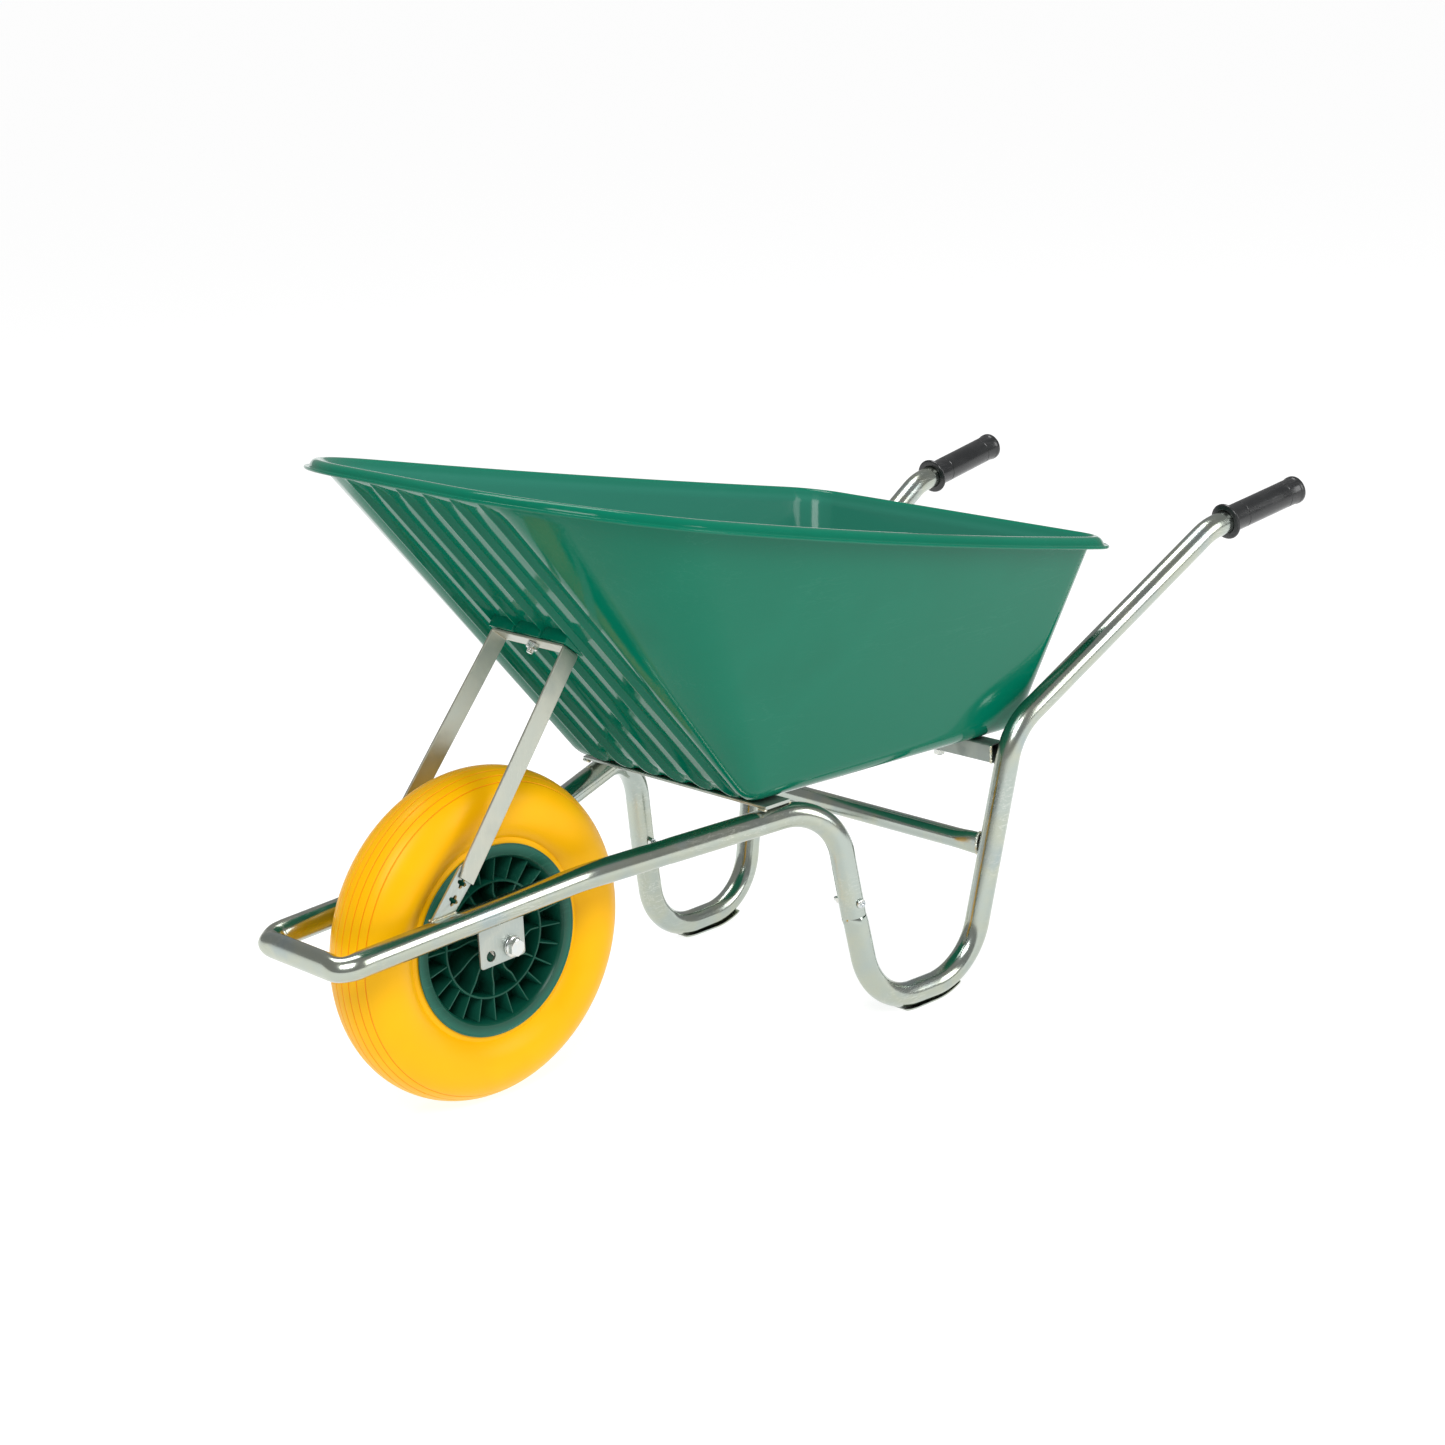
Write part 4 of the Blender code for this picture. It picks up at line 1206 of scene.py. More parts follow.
        square_z = self.floor_z - GAP - self.square / 2
        centre = self.upright_at(square_z)
        half_y = centre.y - self.radius - 0.0012
        outline = rounded_box(self.square / 2, 0.0028)
        inner = rounded_box(self.square / 2 - 0.0015, 0.0014)
        stations = [(-half_y, outline), (half_y, outline), (half_y, inner), (-half_y, inner)]
        rings = [[(centre.x + a, y, square_z + b) for a, b in loop] for y, loop in stations]
        form = Form()
        form.loft(np.array(rings), Ends.LOOPED)
        mesh = form.mesh("rear_square_tube")
        self.shop.finish("rear_square_tube", mesh, Surface.DARK_STRIP, ["rear_cross_tube"])

        low = self.upright_at(0.172)
        end_y = low.y - self.radius - 0.0012
        across = np.linspace(-end_y, end_y, 61)
        path = np.column_stack([np.full(61, low.x), across, np.full(61, low.z)])
        rings = self.grow.tube_along(path, 0.0125)
        off = rings - path[:, None, :]
        flat = softened(np.abs(across), end_y - 0.042, end_y - 0.006)[:, None]
        off[..., 0] *= 1 - 0.42 * flat
        off[..., 2] *= 1 + 0.16 * flat
        near_end = softened(np.abs(across), end_y - 0.055, end_y - 0.002)
        heat = near_end[:, None] * np.ones((1, rings.shape[1])) * 0.8
        form = Form()
        form.loft(self.hollow(path[:, None, :] + off, path, 0.0015), Ends.LOOPED, self.both(heat))
        mesh = form.mesh("lower_tube", "heat")
        self.shop.finish("lower_tube", mesh, Surface.ZINC, ["lower_cross_tube"], sharp=40.0)
        self.build_welds(end_y, low)

    def build_welds(self, end_y: float, low: Vector) -> None:
        """Weld beads where the members meet the tubes."""
        angles = np.linspace(0.0, 2 * math.pi, 33)
        loops = []
        for side, _ in SIDES:
            ring = np.column_stack(
                [
                    low.x + 0.0078 * np.cos(angles),
                    np.full(33, side * (end_y - 0.0010)),
                    low.z + 0.0146 * np.sin(angles),
                ]
            )
            loops.append(ring)
            square = self.upright_at(self.floor_z - GAP - self.square / 2)
            y = side * (square.y - self.radius - 0.0022)
            for dx in (-1, 1):
                x = square.x + dx * self.square / 2
                loops.append(np.array([(x, y, square.z - 0.010), (x, y, square.z + 0.009)]))
            for x in (0.3052, 0.3448):
                loops.append(np.array([(x, side * 0.1475, 0.2926), (x, side * 0.1575, 0.2926)]))
        mesh = self.grow.bead_along(loops)
        self.shop.finish("frame_welds", mesh, Surface.WELD, [], rides_with="front_frame", sharp=180.0)


def rounded_box(half: float, radius: float, steps: int = 5) -> list[Pair]:
    """A square outline with rounded corners, in its own plane."""
    loop = []
    for quarter in range(4):
        middle = math.radians(45 + 90 * quarter)
        centre = (half - radius) * math.sqrt(2)
        for step in range(steps + 1):
            angle = math.radians(90 * quarter + 90 * step / steps)
            loop.append((
                centre * math.cos(middle) + radius * math.cos(angle),
                centre * math.sin(middle) + radius * math.sin(angle),
            ))
    return loop


def slab(middle: Point, halves: Point, edge: float) -> np.ndarray:
    """Rings along Y of a flat bar with softened edges."""
    x, y, z = halves
    half_loop = [(x - edge, -z), (x, -z + edge), (x, z - edge), (x - edge, z)]
    loop = half_loop + [(-a, -b) for a, b in half_loop]
    rings = []
    for place, share in ((-y, 0.97), (-y + edge, 1.0), (y - edge, 1.0), (y, 0.97)):
        rings.append([(middle[0] + a * share, middle[1] + place, middle[2] + b * share) for a, b in loop])
    return np.array(rings)


@dataclass
class FrontBrace:
    """The bent strap under the tray's lug, and the slotted tabs on the rails."""

    shop: Workshop
    grow: Growers
    top: Point = BRACE_TOP
    along: Point = BRACE_ALONG
    tab_foot: float = 0.3290
    tab_height: float = 0.066
    slots: Pair = (0.024, 0.045)
    width: float = 0.025
    thick: float = 0.003
    length: float = 0.2800
    top_half: float = 0.0630
    tab_y: float = 0.0675

    def build(self) -> None:
        """Builds the strap, the tabs and the bolt."""
        self.build_strap()
        for side, name in SIDES:
            self.build_tab(side, name)
        self.build_bolt()

    def build_strap(self) -> None:
        """A flat strap bent to a U with two tight folds; its feet narrow to a tongue."""
        along = Vector(self.along)
        across = along.cross(Vector((0, 1, 0))).normalized()
        foot_half = self.tab_y + self.thick * 1.5 + 4 * GAP - self.thick / 2
        middle_half = self.top_half - self.thick / 2
        line = bent_path([
            ((-foot_half, 0.0, -self.length), 0.0),
            ((-middle_half, 0.0, 0.0), 0.0026),
            ((middle_half, 0.0, 0.0), 0.0026),
            ((foot_half, 0.0, -self.length), 0.0),
        ], step=12.0, spacing=0.008)
        tangent = np.gradient(line, axis=0)
        tangent /= np.linalg.norm(tangent, axis=1, keepdims=True)
        side = np.column_stack([tangent[:, 2], np.zeros(len(line)), -tangent[:, 0]])
        half = self.width / 2
        loop = [
            (-0.94, -1), (0.94, -1), (1, -0.7), (1, 0.7), (0.94, 1), (-0.94, 1), (-1, 0.7), (-1, -0.7),
        ]
        rings = []
        for point, out in zip(line, side):
            down = -point[2]
            clip = softened(down, self.length - 0.020, self.length) * 0.34
            ring = []
            for a, b in loop:
                a = a if a > 0 else a * (1 - clip)
                place = Vector(self.top) + Vector((0, 1, 0)) * (point[0] + out[0] * b * self.thick / 2)
                place = place + along * (point[2] + out[2] * b * self.thick / 2) - across * a * half
                ring.append(tuple(place))
            rings.append(ring)
        edge = np.tile(np.array([0.6, 0.6, 1.0, 1.0, 0.6, 0.6, 1.0, 1.0]) * 0.35, (len(rings), 1))
        form = Form()
        form.loft(np.array(rings), Ends.CAPPED, edge)
        mesh = form.mesh("brace_strap", "edge")
        self.shop.finish("brace_strap", mesh, Surface.STRIP, ["front_brace"], sharp=30.0)

    def build_tab(self, side: int, name: str) -> None:
        """A slotted tab, rounded at the top, with a weld along its foot."""
        lean = math.atan2(self.along[2], self.along[0])
        foot = Vector(self.top) - Vector(self.along) * self.tab_foot
        half = self.width / 2

        def at(along: float, across: float) -> Pair:
            x = foot.x + along * math.cos(lean) - across * math.sin(lean)
            return (x, foot.z + along * math.sin(lean) + across * math.cos(lean))

        feet = [foot.x - half / math.sin(lean), foot.x + half / math.sin(lean)]
        outline = [(x, rail_z(x) + 0.0149) for x in feet]
        corner = 0.009
        turns = [(1, angle) for angle in range(0, 91, 15)]
        turns += [(-1, angle) for angle in range(90, -1, -15)]
        top = []
        for flank, degrees in turns:
            angle = math.radians(degrees)
            across = -(half - corner) * flank - corner * flank * math.cos(angle)
            top.append(at(self.tab_height - corner + corner * math.sin(angle), across))
        slots = []
        for distance in self.slots:
            star = []
            for index in range(24):
                angle = 2 * math.pi * index / 24
                radius = 0.0036 + 0.0032 * abs(math.cos(2 * angle)) ** 1.6
                star.append(at(distance + radius * math.cos(angle), radius * math.sin(angle)))
            slots.append(star)
        mesh = flat_plate_mesh(f"tab_{name}", outline + top, slots, side * self.tab_y, self.thick)
        self.shop.finish(f"tab_{name}", mesh, Surface.STRIP, [f"brace_tab_{name}"], sharp=30.0)
        line = [(x, rail_z(x) + 0.0150) for x in np.linspace(feet[0], feet[1], 12)]
        loops = [np.array([(x, side * (self.tab_y + dy), z) for x, z in line]) for dy in (-0.0022, 0.0022)]
        bead = self.grow.bead_along(loops, radius=0.0018, pitch=0.0016)
        self.shop.finish(
            f"tab_weld_{name}", bead, Surface.WELD, [], rides_with=f"brace_tab_{name}", sharp=180.0
        )

    def build_bolt(self) -> None:
        """The bolt through the lug with its washer and nut."""
        along, top = Vector(self.along).normalized(), Vector(self.top)
        seat = top + along * (0.0135 + GAP)
        make = Fasteners(self.shop)
        make.washer("brace_washer", seat, along, 0.010, 0.0043, 0.0016)
        make.bolt("brace_bolt", seat + along * (0.0016 + GAP), -along, 0.004, 0.0295, 0.0085, 0.0045)
        make.nut("brace_nut", top - along * (0.0015 + GAP), -along, 0.0075, 0.0043, 0.0065)


def flat_plate_mesh(
    name: str,
    outline: Sequence[Pair],
    holes: Sequence[Sequence[Pair]],
    y: float,
    thick: float,
    edge: float = 0.0003,
) -> bpy.types.Mesh:
    """A flat plate that stands in X and Z, with holes through it and softened edges.

    Args:
        name: The mesh's name.
        outline: The outer loop in x and z.
        holes: Loops of the holes.
        y: The middle of its thickness.
        thick: Its thickness.
        edge: The size of the softened edge.

    Returns:
        The mesh.
    """
    curve = bpy.data.curves.new(name, "CURVE")
    curve.dimensions = "2D"
    curve.fill_mode = "BOTH"
    curve.extrude = thick / 2 - edge
    curve.bevel_depth = edge
    curve.bevel_resolution = 1
    curve.offset = -edge
    for loop in (outline, *holes):
        spline = curve.splines.new("POLY")
        spline.points.add(len(loop) - 1)
        for point, (a, b) in zip(spline.points, loop):
            point.co = (a, b, 0, 1)
        spline.use_cyclic_u = True
    holder = bpy.data.objects.new(name, curve)
    mesh = bpy.data.meshes.new_from_object(holder)
    bpy.data.objects.remove(holder)
    shape = bmesh.new()
    shape.from_mesh(mesh)
    bmesh.ops.remove_doubles(shape, verts=shape.verts, dist=0.00001)
    bmesh.ops.recalc_face_normals(shape, faces=shape.faces)
    shape.to_mesh(mesh)
    shape.free()
    mesh.transform(Matrix.Translation((0, y, 0)) @ Matrix.Rotation(math.radians(90), 4, "X"))
    return mesh


@dataclass
class Fasteners:
    """Bolts, washers and nuts."""

    shop: Workshop

    def bolt(
        self, name: str, place: Vector, along: Vector, shank: float, length: float, head: float,
        height: float,
        collar: float = 0.0,
    ) -> None:
        """A hexagon bolt whose head rests on a place and whose shank runs along a direction.

        Args:
            name: The node it stands for.
            place: The seat of the head.
            along: The direction of the shank.
            shank: The shank's radius.
            length: The shank's length.
            head: Half the head's width across its corners.
            height: The head's height.
            collar: The radius of the flange under the head, if it has one.
        """
        matrix = upright(tuple(place), along)
        form = Form()
        form.loft(self.hexagon(matrix, head, -height, 0.0, True), Ends.CAPPED)
        if collar:
            flange = [
                (collar - 0.0004, 0.0), (collar, -0.0006), (collar - 0.0012, -0.0014), (head * 0.8, -0.0022),
            ]
            form.loft(turned(flange, matrix, 48))
        profile = [(shank * 0.96, -0.0005), (shank * 0.96, length * 0.35)]
        place_now = length * 0.35
        while place_now < length - 0.0012:
            profile += [(shank, place_now + 0.0004), (shank * 0.88, place_now + 0.0009)]
            place_now += 0.0010
        profile += [(shank * 0.9, length - 0.0004), (shank * 0.72, length)]
        form.loft(turned(profile, matrix, 24))
        self.shop.finish(f"{name}_piece", form.mesh(name), Surface.FASTENER, [name], sharp=25.0)

    def nut(self, name: str, place: Vector, along: Vector, outer: float, bore: float, height: float) -> None:
        """A hexagon nut standing on a place."""
        matrix = upright(tuple(place), along)
        body = self.hexagon(matrix, outer, 0.0, height, True)
        hole = self.hexagon(matrix, bore * 1.05, 0.0, height, False)
        form = Form()
        form.loft(np.concatenate([body, hole[::-1]]), Ends.LOOPED)
        self.shop.finish(f"{name}_piece", form.mesh(name), Surface.FASTENER, [name], sharp=25.0)

    def washer(
        self, name: str, place: Vector, along: Vector, outer: float, bore: float, height: float
    ) -> None:
        """A washer with softened edges."""
        edge = 0.0003
        profile = [
            (bore + edge, 0.0), (outer - edge, 0.0), (outer, edge), (outer, height - edge),
            (outer - edge, height), (bore + edge, height), (bore, height - edge), (bore, edge),
        ]
        form = Form()
        form.loft(turned(profile, upright(tuple(place), along), 48), Ends.LOOPED)
        self.shop.finish(f"{name}_piece", form.mesh(name), Surface.FASTENER, [name], sharp=25.0)

    def ring(
        self, name: str, profile: Sequence[Pair], place: Vector, along: Vector, surface: Surface, node: str
    ) -> None:
        """A closed ring of revolution of any profile."""
        form = Form()
        form.loft(turned(profile, upright(tuple(place), along), 64), Ends.LOOPED)
        self.shop.finish(name, form.mesh(name), surface, [node], sharp=30.0)

    def hexagon(self, matrix: np.ndarray, outer: float, low: float, high: float, cut: bool) -> np.ndarray:
        """Rings of a hexagon bar, with both rims cut back to a circle.

        Args:
            matrix: Its place.
            outer: Half the width across corners.
            low: Its low end.
            high: Its high end.
            cut: Whether the rims are cut back; otherwise the bar is round.

        Returns:
            The rings.
        """
        steps = 48
        angles = np.linspace(0, 2 * math.pi, steps, endpoint=False)
        flat = math.cos(math.radians(30)) * outer
        reach = flat / np.cos((angles + math.radians(30)) % math.radians(60) - math.radians(30))
        if not cut:
            reach = np.full(steps, outer)
        circle = np.full(steps, flat * 0.98) if cut else reach
        drop = (reach - circle) * 0.55 if cut else np.zeros(steps)
        rings = []
        for radius, height in (
            (circle, np.full(steps, low)),
            (reach, low + drop),
            (reach, high - drop),
            (circle, np.full(steps, high)),
        ):
            rings.append(np.column_stack([radius * np.cos(angles), radius * np.sin(angles), height]))
        return placed(np.array(rings), matrix)


# ------------------------------------------------------------------ wheel and axle


@dataclass
class Wheel:
    """The solid foam tyre on its moulded rim; everything here turns about the axle."""

    shop: Workshop
    grow: Growers
    radius: float = AXLE_HEIGHT
    half_width: float = 0.046
    half_height: float = 0.0445
    hub_half: float = 0.0415
    bearing_radius: float = 0.0138
    sleeve_radius: float = SLEEVE_RADIUS
    grooves: tuple[float, ...] = (-43.5, -31.0, -18.5, -6.0, 6.0, 18.5, 31.0, 43.5)
    spokes: int = 12

    def axis(self, side: int = 1) -> np.ndarray:
        """The axle's place, along the Y axis."""
        return upright((0.0, 0.0, self.radius), (0.0, side, 0.0))

    def build(self) -> None:
        """Builds the tyre, the rim and the bearings."""
        self.build_tyre()
        self.build_rim()
        for side, name in SIDES:
            self.build_bearing(side, name)

    def build_tyre(self) -> None:
        """The tyre, with fine grooves round its tread."""
        middle = self.radius - self.half_height
        across_groove = np.array([-0.9, -0.6, -0.3, 0.0, 0.3, 0.6, 0.9])
        angles = np.radians(np.unique(np.concatenate([
            np.linspace(-134, 134, 135), *[across_groove + g for g in self.grooves]
        ])))
        cut = sum(np.exp(-(((np.degrees(angles) - g) / 0.55) ** 4)) for g in self.grooves)
        depth = 0.0006 * np.clip(cut, 0, 1)
        profile = [
            (middle + (self.half_height - d) * math.cos(a), (self.half_width - d) * math.sin(a))
            for a, d in zip(angles, depth)
        ]
        bead = [(0.1118, 0.0345), (0.1040, 0.0330), (0.1000, 0.0298)]
        profile += bead + [(radius, -y) for radius, y in reversed(bead)]
        # Painted shade: the tread grooves are marked for the darker orange.
        marks = np.concatenate([np.clip(cut, 0, 1), np.zeros(len(bead) * 2)])
        form = Form()
        form.loft(turned(profile, self.axis(), 192), Ends.LOOPED, marks)
        self.shop.finish("tyre_foam", form.mesh("tyre", "groove"), Surface.TYRE, ["tyre"], sharp=40.0)

    def build_rim(self) -> None:
        """The rim: flange, mid ring and hub, with short ribs and curved vanes between them."""
        half = [
            (0.0997, 0.0298), (0.1035, 0.0333), (0.1100, 0.0348), (0.1106, 0.0352),
            (0.1110, 0.0358), (0.1108, 0.0368), (0.1102, 0.0372), (0.1094, 0.0370), (0.1084, 0.0362),
            (0.1000, 0.0360), (0.0988, 0.0366), (0.0980, 0.0366), (0.0972, 0.0358), (0.0952, 0.0330),
            (0.0936, 0.0040), (0.0690, 0.0040), (0.0688, 0.0300), (0.0684, 0.0306), (0.0664, 0.0306),
            (0.0660, 0.0300), (0.0658, 0.0040), (0.0300, 0.0040), (0.0262, 0.0060),
            (0.0240, 0.0390), (0.0235, 0.0408), (0.0228, 0.0415), (0.0148, 0.0415), (0.0140, 0.0410),
            (0.0140, 0.0310), (0.0100, 0.0310),
        ]
        profile = half + [(radius, -y) for radius, y in reversed(half)]
        # Painted highlight: the flange's crown takes 0.8 of the paler edge colour, the step just inside it
        # 0.05.
        marks = np.zeros(len(half))
        marks[4:9] = 0.8
        marks[9:13] = 0.05
        form = Form()
        form.loft(turned(profile, self.axis(), 160), Ends.LOOPED, np.concatenate([marks, marks[::-1]]))
        mesh = form.mesh("wheel_rim", "edge")
        self.shop.finish("rim_body", mesh, Surface.RIM, ["wheel_rim"], sharp=35.0)
        for label, section, count in (
            ("rim_vanes", self.vane(), self.spokes),
            ("rim_ribs", self.short_rib(), 2 * self.spokes),
        ):
            grown = self.grow.grow(self.grow.spokes, section, count=count, phase=math.radians(4))
            grown.transform(Matrix.Translation((0, 0, self.radius)))
            piece = self.shop.finish(label, grown, Surface.RIM, [], rides_with="wheel_rim", sharp=35.0)
            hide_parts("wheel_rim")

    def blade(self, line: Sequence[tuple[float, float, float]], half_thick: float) -> bpy.types.Mesh:
        """One vane on each face of the web, along a line in the wheel's plane.

        Args:
            line: Points as x, z and the height of the vane there.
            half_thick: Half its thickness.

        Returns:
            The mesh, about the wheel's axis.
        """
        line_array = np.array(line)
        tangent = np.gradient(line_array[:, :2], axis=0)
        tangent /= np.linalg.norm(tangent, axis=1, keepdims=True)
        side = np.column_stack([-tangent[:, 1], tangent[:, 0]])
        form = Form()
        for face in (-1, 1):
            rings = []
            for (x, z, height), (sx, sz) in zip(line_array, side):
                ring = []
                section = (
                    (-1.25, 0.0034), (1.25, 0.0034), (1.0, height - 0.0006), (0.6, height),
                    (-0.6, height), (-1.0, height - 0.0006),
                )
                for across, y in section:
                    ring.append((x + sx * across * half_thick, face * y, z + sz * across * half_thick))
                rings.append(ring)
            # Every vane and rib takes 0.15 of the rim's painted highlight colour.
            form.loft(np.array(rings), Ends.CAPPED, 0.15)
        return form.mesh("blade", "edge")

    def vane(self) -> bpy.types.Mesh:
        """A vane from the hub to the mid ring, curved near the hub."""
        inner, outer = 0.0238, 0.0665
        line = []
        for share in np.linspace(0.0, 1.0, 15):
            radius = inner + (outer - inner) * share
            angle = math.radians(17.0) * (1.0 - softened(share, 0.0, 0.75))
            height = 0.0385 - 0.0090 * softened(share, 0.0, 0.8)
            line.append((radius * math.sin(angle), radius * math.cos(angle), height))
        return self.blade(line, 0.0011)

    def short_rib(self) -> bpy.types.Mesh:
        """A short radial rib from the mid ring to the barrel."""
        inner, outer = 0.0685, 0.0944
        line = [
            (0.0, radius, 0.0296 + 0.0030 * (radius - inner) / 0.026)
            for radius in np.linspace(inner, outer, 5)
        ]
        return self.blade(line, 0.0010)

    def build_bearing(self, side: int, name: str) -> None:
        """A flanged plain bearing in the hub.

        Args:
            side: -1 for left and 1 for right.
            name: The side's name.
        """
        low = self.hub_half - 0.0100
        bore = self.sleeve_radius + GAP
        face = self.hub_half + 0.0022
        profile = [
            (bore, low), (self.bearing_radius, low), (self.bearing_radius, self.hub_half + GAP),
            (0.0172, self.hub_half + GAP), (0.0175, self.hub_half + 0.0006), (0.0175, face - 0.0005),
            (0.0170, face), (bore + 0.0005, face), (bore, face - 0.0005),
        ]
        make = Fasteners(self.shop)
        make.ring(
            f"bearing_ring_{name}", profile, Vector((0, 0, self.radius)), Vector((0, side, 0)), Surface.NYLON,
            f"bearing_{name}",
        )


@dataclass
class Axle:
    """The brackets welded under the rails and the bolt that carries the wheel."""

    shop: Workshop
    grow: Growers
    height: float = AXLE_HEIGHT
    bracket_y: float = 0.0607
    plate: float = 0.003
    hole: float = 0.0063
    sleeve_radius: float = SLEEVE_RADIUS
    hub_face: float = 0.0437
    washer: float = 0.0018

    def build(self) -> None:
        """Builds the brackets, spacers, bolt and nut."""
        loops = []
        for side, name in SIDES:
            self.build_bracket(side, name)
            for dy in (-0.0023, 0.0023):
                xs = np.linspace(-0.0430, 0.0150, 24)
                y = side * (self.bracket_y + dy)
                loops.append(np.array([(x, y, rail_z(x) - 0.0112) for x in xs]))
        mesh = self.grow.bead_along(loops, radius=0.0019, pitch=0.0017)
        self.shop.finish("bracket_welds", mesh, Surface.WELD, [], rides_with="front_frame", sharp=180.0)
        make = Fasteners(self.shop)
        inner = self.bracket_y - self.plate / 2 - GAP
        outer = self.bracket_y + self.plate / 2 + GAP
        axle, across = Vector((0, 0, self.height)), Vector((0, 1, 0))
        sleeve = [
            (self.hole, 0.0), (self.sleeve_radius, 0.0), (self.sleeve_radius, 2 * inner),
            (self.hole, 2 * inner),
        ]
        make.ring("axle_tube", sleeve, axle - across * inner, across, Surface.FASTENER, "axle_sleeve")
        for side, name in SIDES:
            start = self.hub_face + GAP
            length = inner - start
            bore = self.sleeve_radius + GAP
            spacer = [
                (bore, 0.0), (0.0114, 0.0), (0.0120, 0.0006), (0.0120, length - 0.0006), (0.0114, length),
                (bore, length),
            ]
            make.ring(
                f"spacer_{name}", spacer, axle + across * side * start, across * side, Surface.FASTENER,
                f"axle_spacer_{name}",
            )
            place = axle + across * side * outer
            make.washer(f"axle_washer_{name}", place, across * side, 0.0120, self.hole, self.washer)
        seat = outer + self.washer + GAP
        length, head = 2 * seat + 0.0145, 0.0104
        make.bolt("axle_bolt", axle - across * seat, across, 0.006, length, head, 0.0075, collar=0.0112)
        make.nut("axle_nut", axle + across * seat, across, head, self.hole, 0.0100)

    def build_bracket(self, side: int, name: str) -> None:
        """A flat bracket with the axle's hole and a spare one.

        Args:
            side: -1 for left and 1 for right.
            name: The side's name.
        """
        top = [(x, rail_z(x) - 0.0092) for x in (-0.0445, 0.0165)]
        outline = [
            (-0.0455, 0.1802), (-0.0449, 0.1778), (-0.0430, 0.1766), (-0.0395, 0.1764), (0.0140, 0.1788),
            (0.0165, 0.1796), (0.0180, 0.1818), (0.0178, top[1][1] - 0.014), (0.0160, top[1][1] - 0.0125),
            (0.0160, top[1][1] - 0.0085), (0.0172, top[1][1] - 0.0070), (0.0168, top[1][1]), top[0],
            (-0.0452, top[0][1] - 0.0070), (-0.0440, top[0][1] - 0.0085), (-0.0440, top[0][1] - 0.0125),
            (-0.0458, top[0][1] - 0.0140),
        ]
        holes = []
        for x, z in ((0.0, self.height), (-0.0305, 0.1890)):
            angles = np.linspace(0, 2 * math.pi, 40, endpoint=False)
            holes.append([(x + self.hole * math.cos(a), z + self.hole * math.sin(a)) for a in angles])
        mesh = flat_plate_mesh(f"bracket_{name}", outline, holes, side * self.bracket_y, self.plate)
        self.shop.finish(f"bracket_plate_{name}", mesh, Surface.STRIP, [f"axle_bracket_{name}"], sharp=30.0)


# ------------------------------------------------------------------ handles and fasteners


@dataclass
class Handles:
    """The two moulded grips."""

    shop: Workshop
    start: Point = (1.0490, 0.2513, 0.5104)
    end: Point = (1.1840, 0.2612, 0.5302)
    bore: float = 0.0153
    body: float = 0.0173

    def groove(self, start: float) -> list[Pair]:
        """The profile of a shallow groove round the grip, from its start along it."""
        floor = 0.0167
        return [
            (self.body, start), (floor, start + 0.0006), (floor, start + 0.0012),
            (self.body, start + 0.0018),
        ]

    def build(self) -> None:
        """Builds both grips."""
        for side, name in SIDES:
            start, end = on_side(self.start, side), on_side(self.end, side)
            length = (end - start).length
            profile = [
                (0.0003, length - 0.0035), (self.bore, length - 0.0035), (self.bore, -0.0020),
                (0.0158, -0.0025),
                (0.0214, -0.0025), (0.0225, -0.0019), (0.0232, -0.0008), (0.0233, 0.0), (0.0230, 0.0010),
                (0.0222, 0.0019), (0.0210, 0.0026), (0.0186, 0.0034), (0.0176, 0.0046), (self.body, 0.0070),
                *self.groove(length * 0.20), *self.groove(length * 0.80), (self.body, length - 0.0085),
                (0.0178, length - 0.0072), (0.0184, length - 0.0058), (0.0184, length - 0.0018),
                (0.0181, length - 0.0008), (0.0172, length - 0.0001), (0.0120, length), (0.0003, length),
            ]
            form = Form()
            form.loft(turned(profile, upright(tuple(start), end - start), 72), Ends.CAPPED)
            mesh = form.mesh(f"grip_{name}")
            self.shop.finish(f"grip_sleeve_{name}", mesh, Surface.GRIP, [f"grip_{name}"], sharp=40.0)


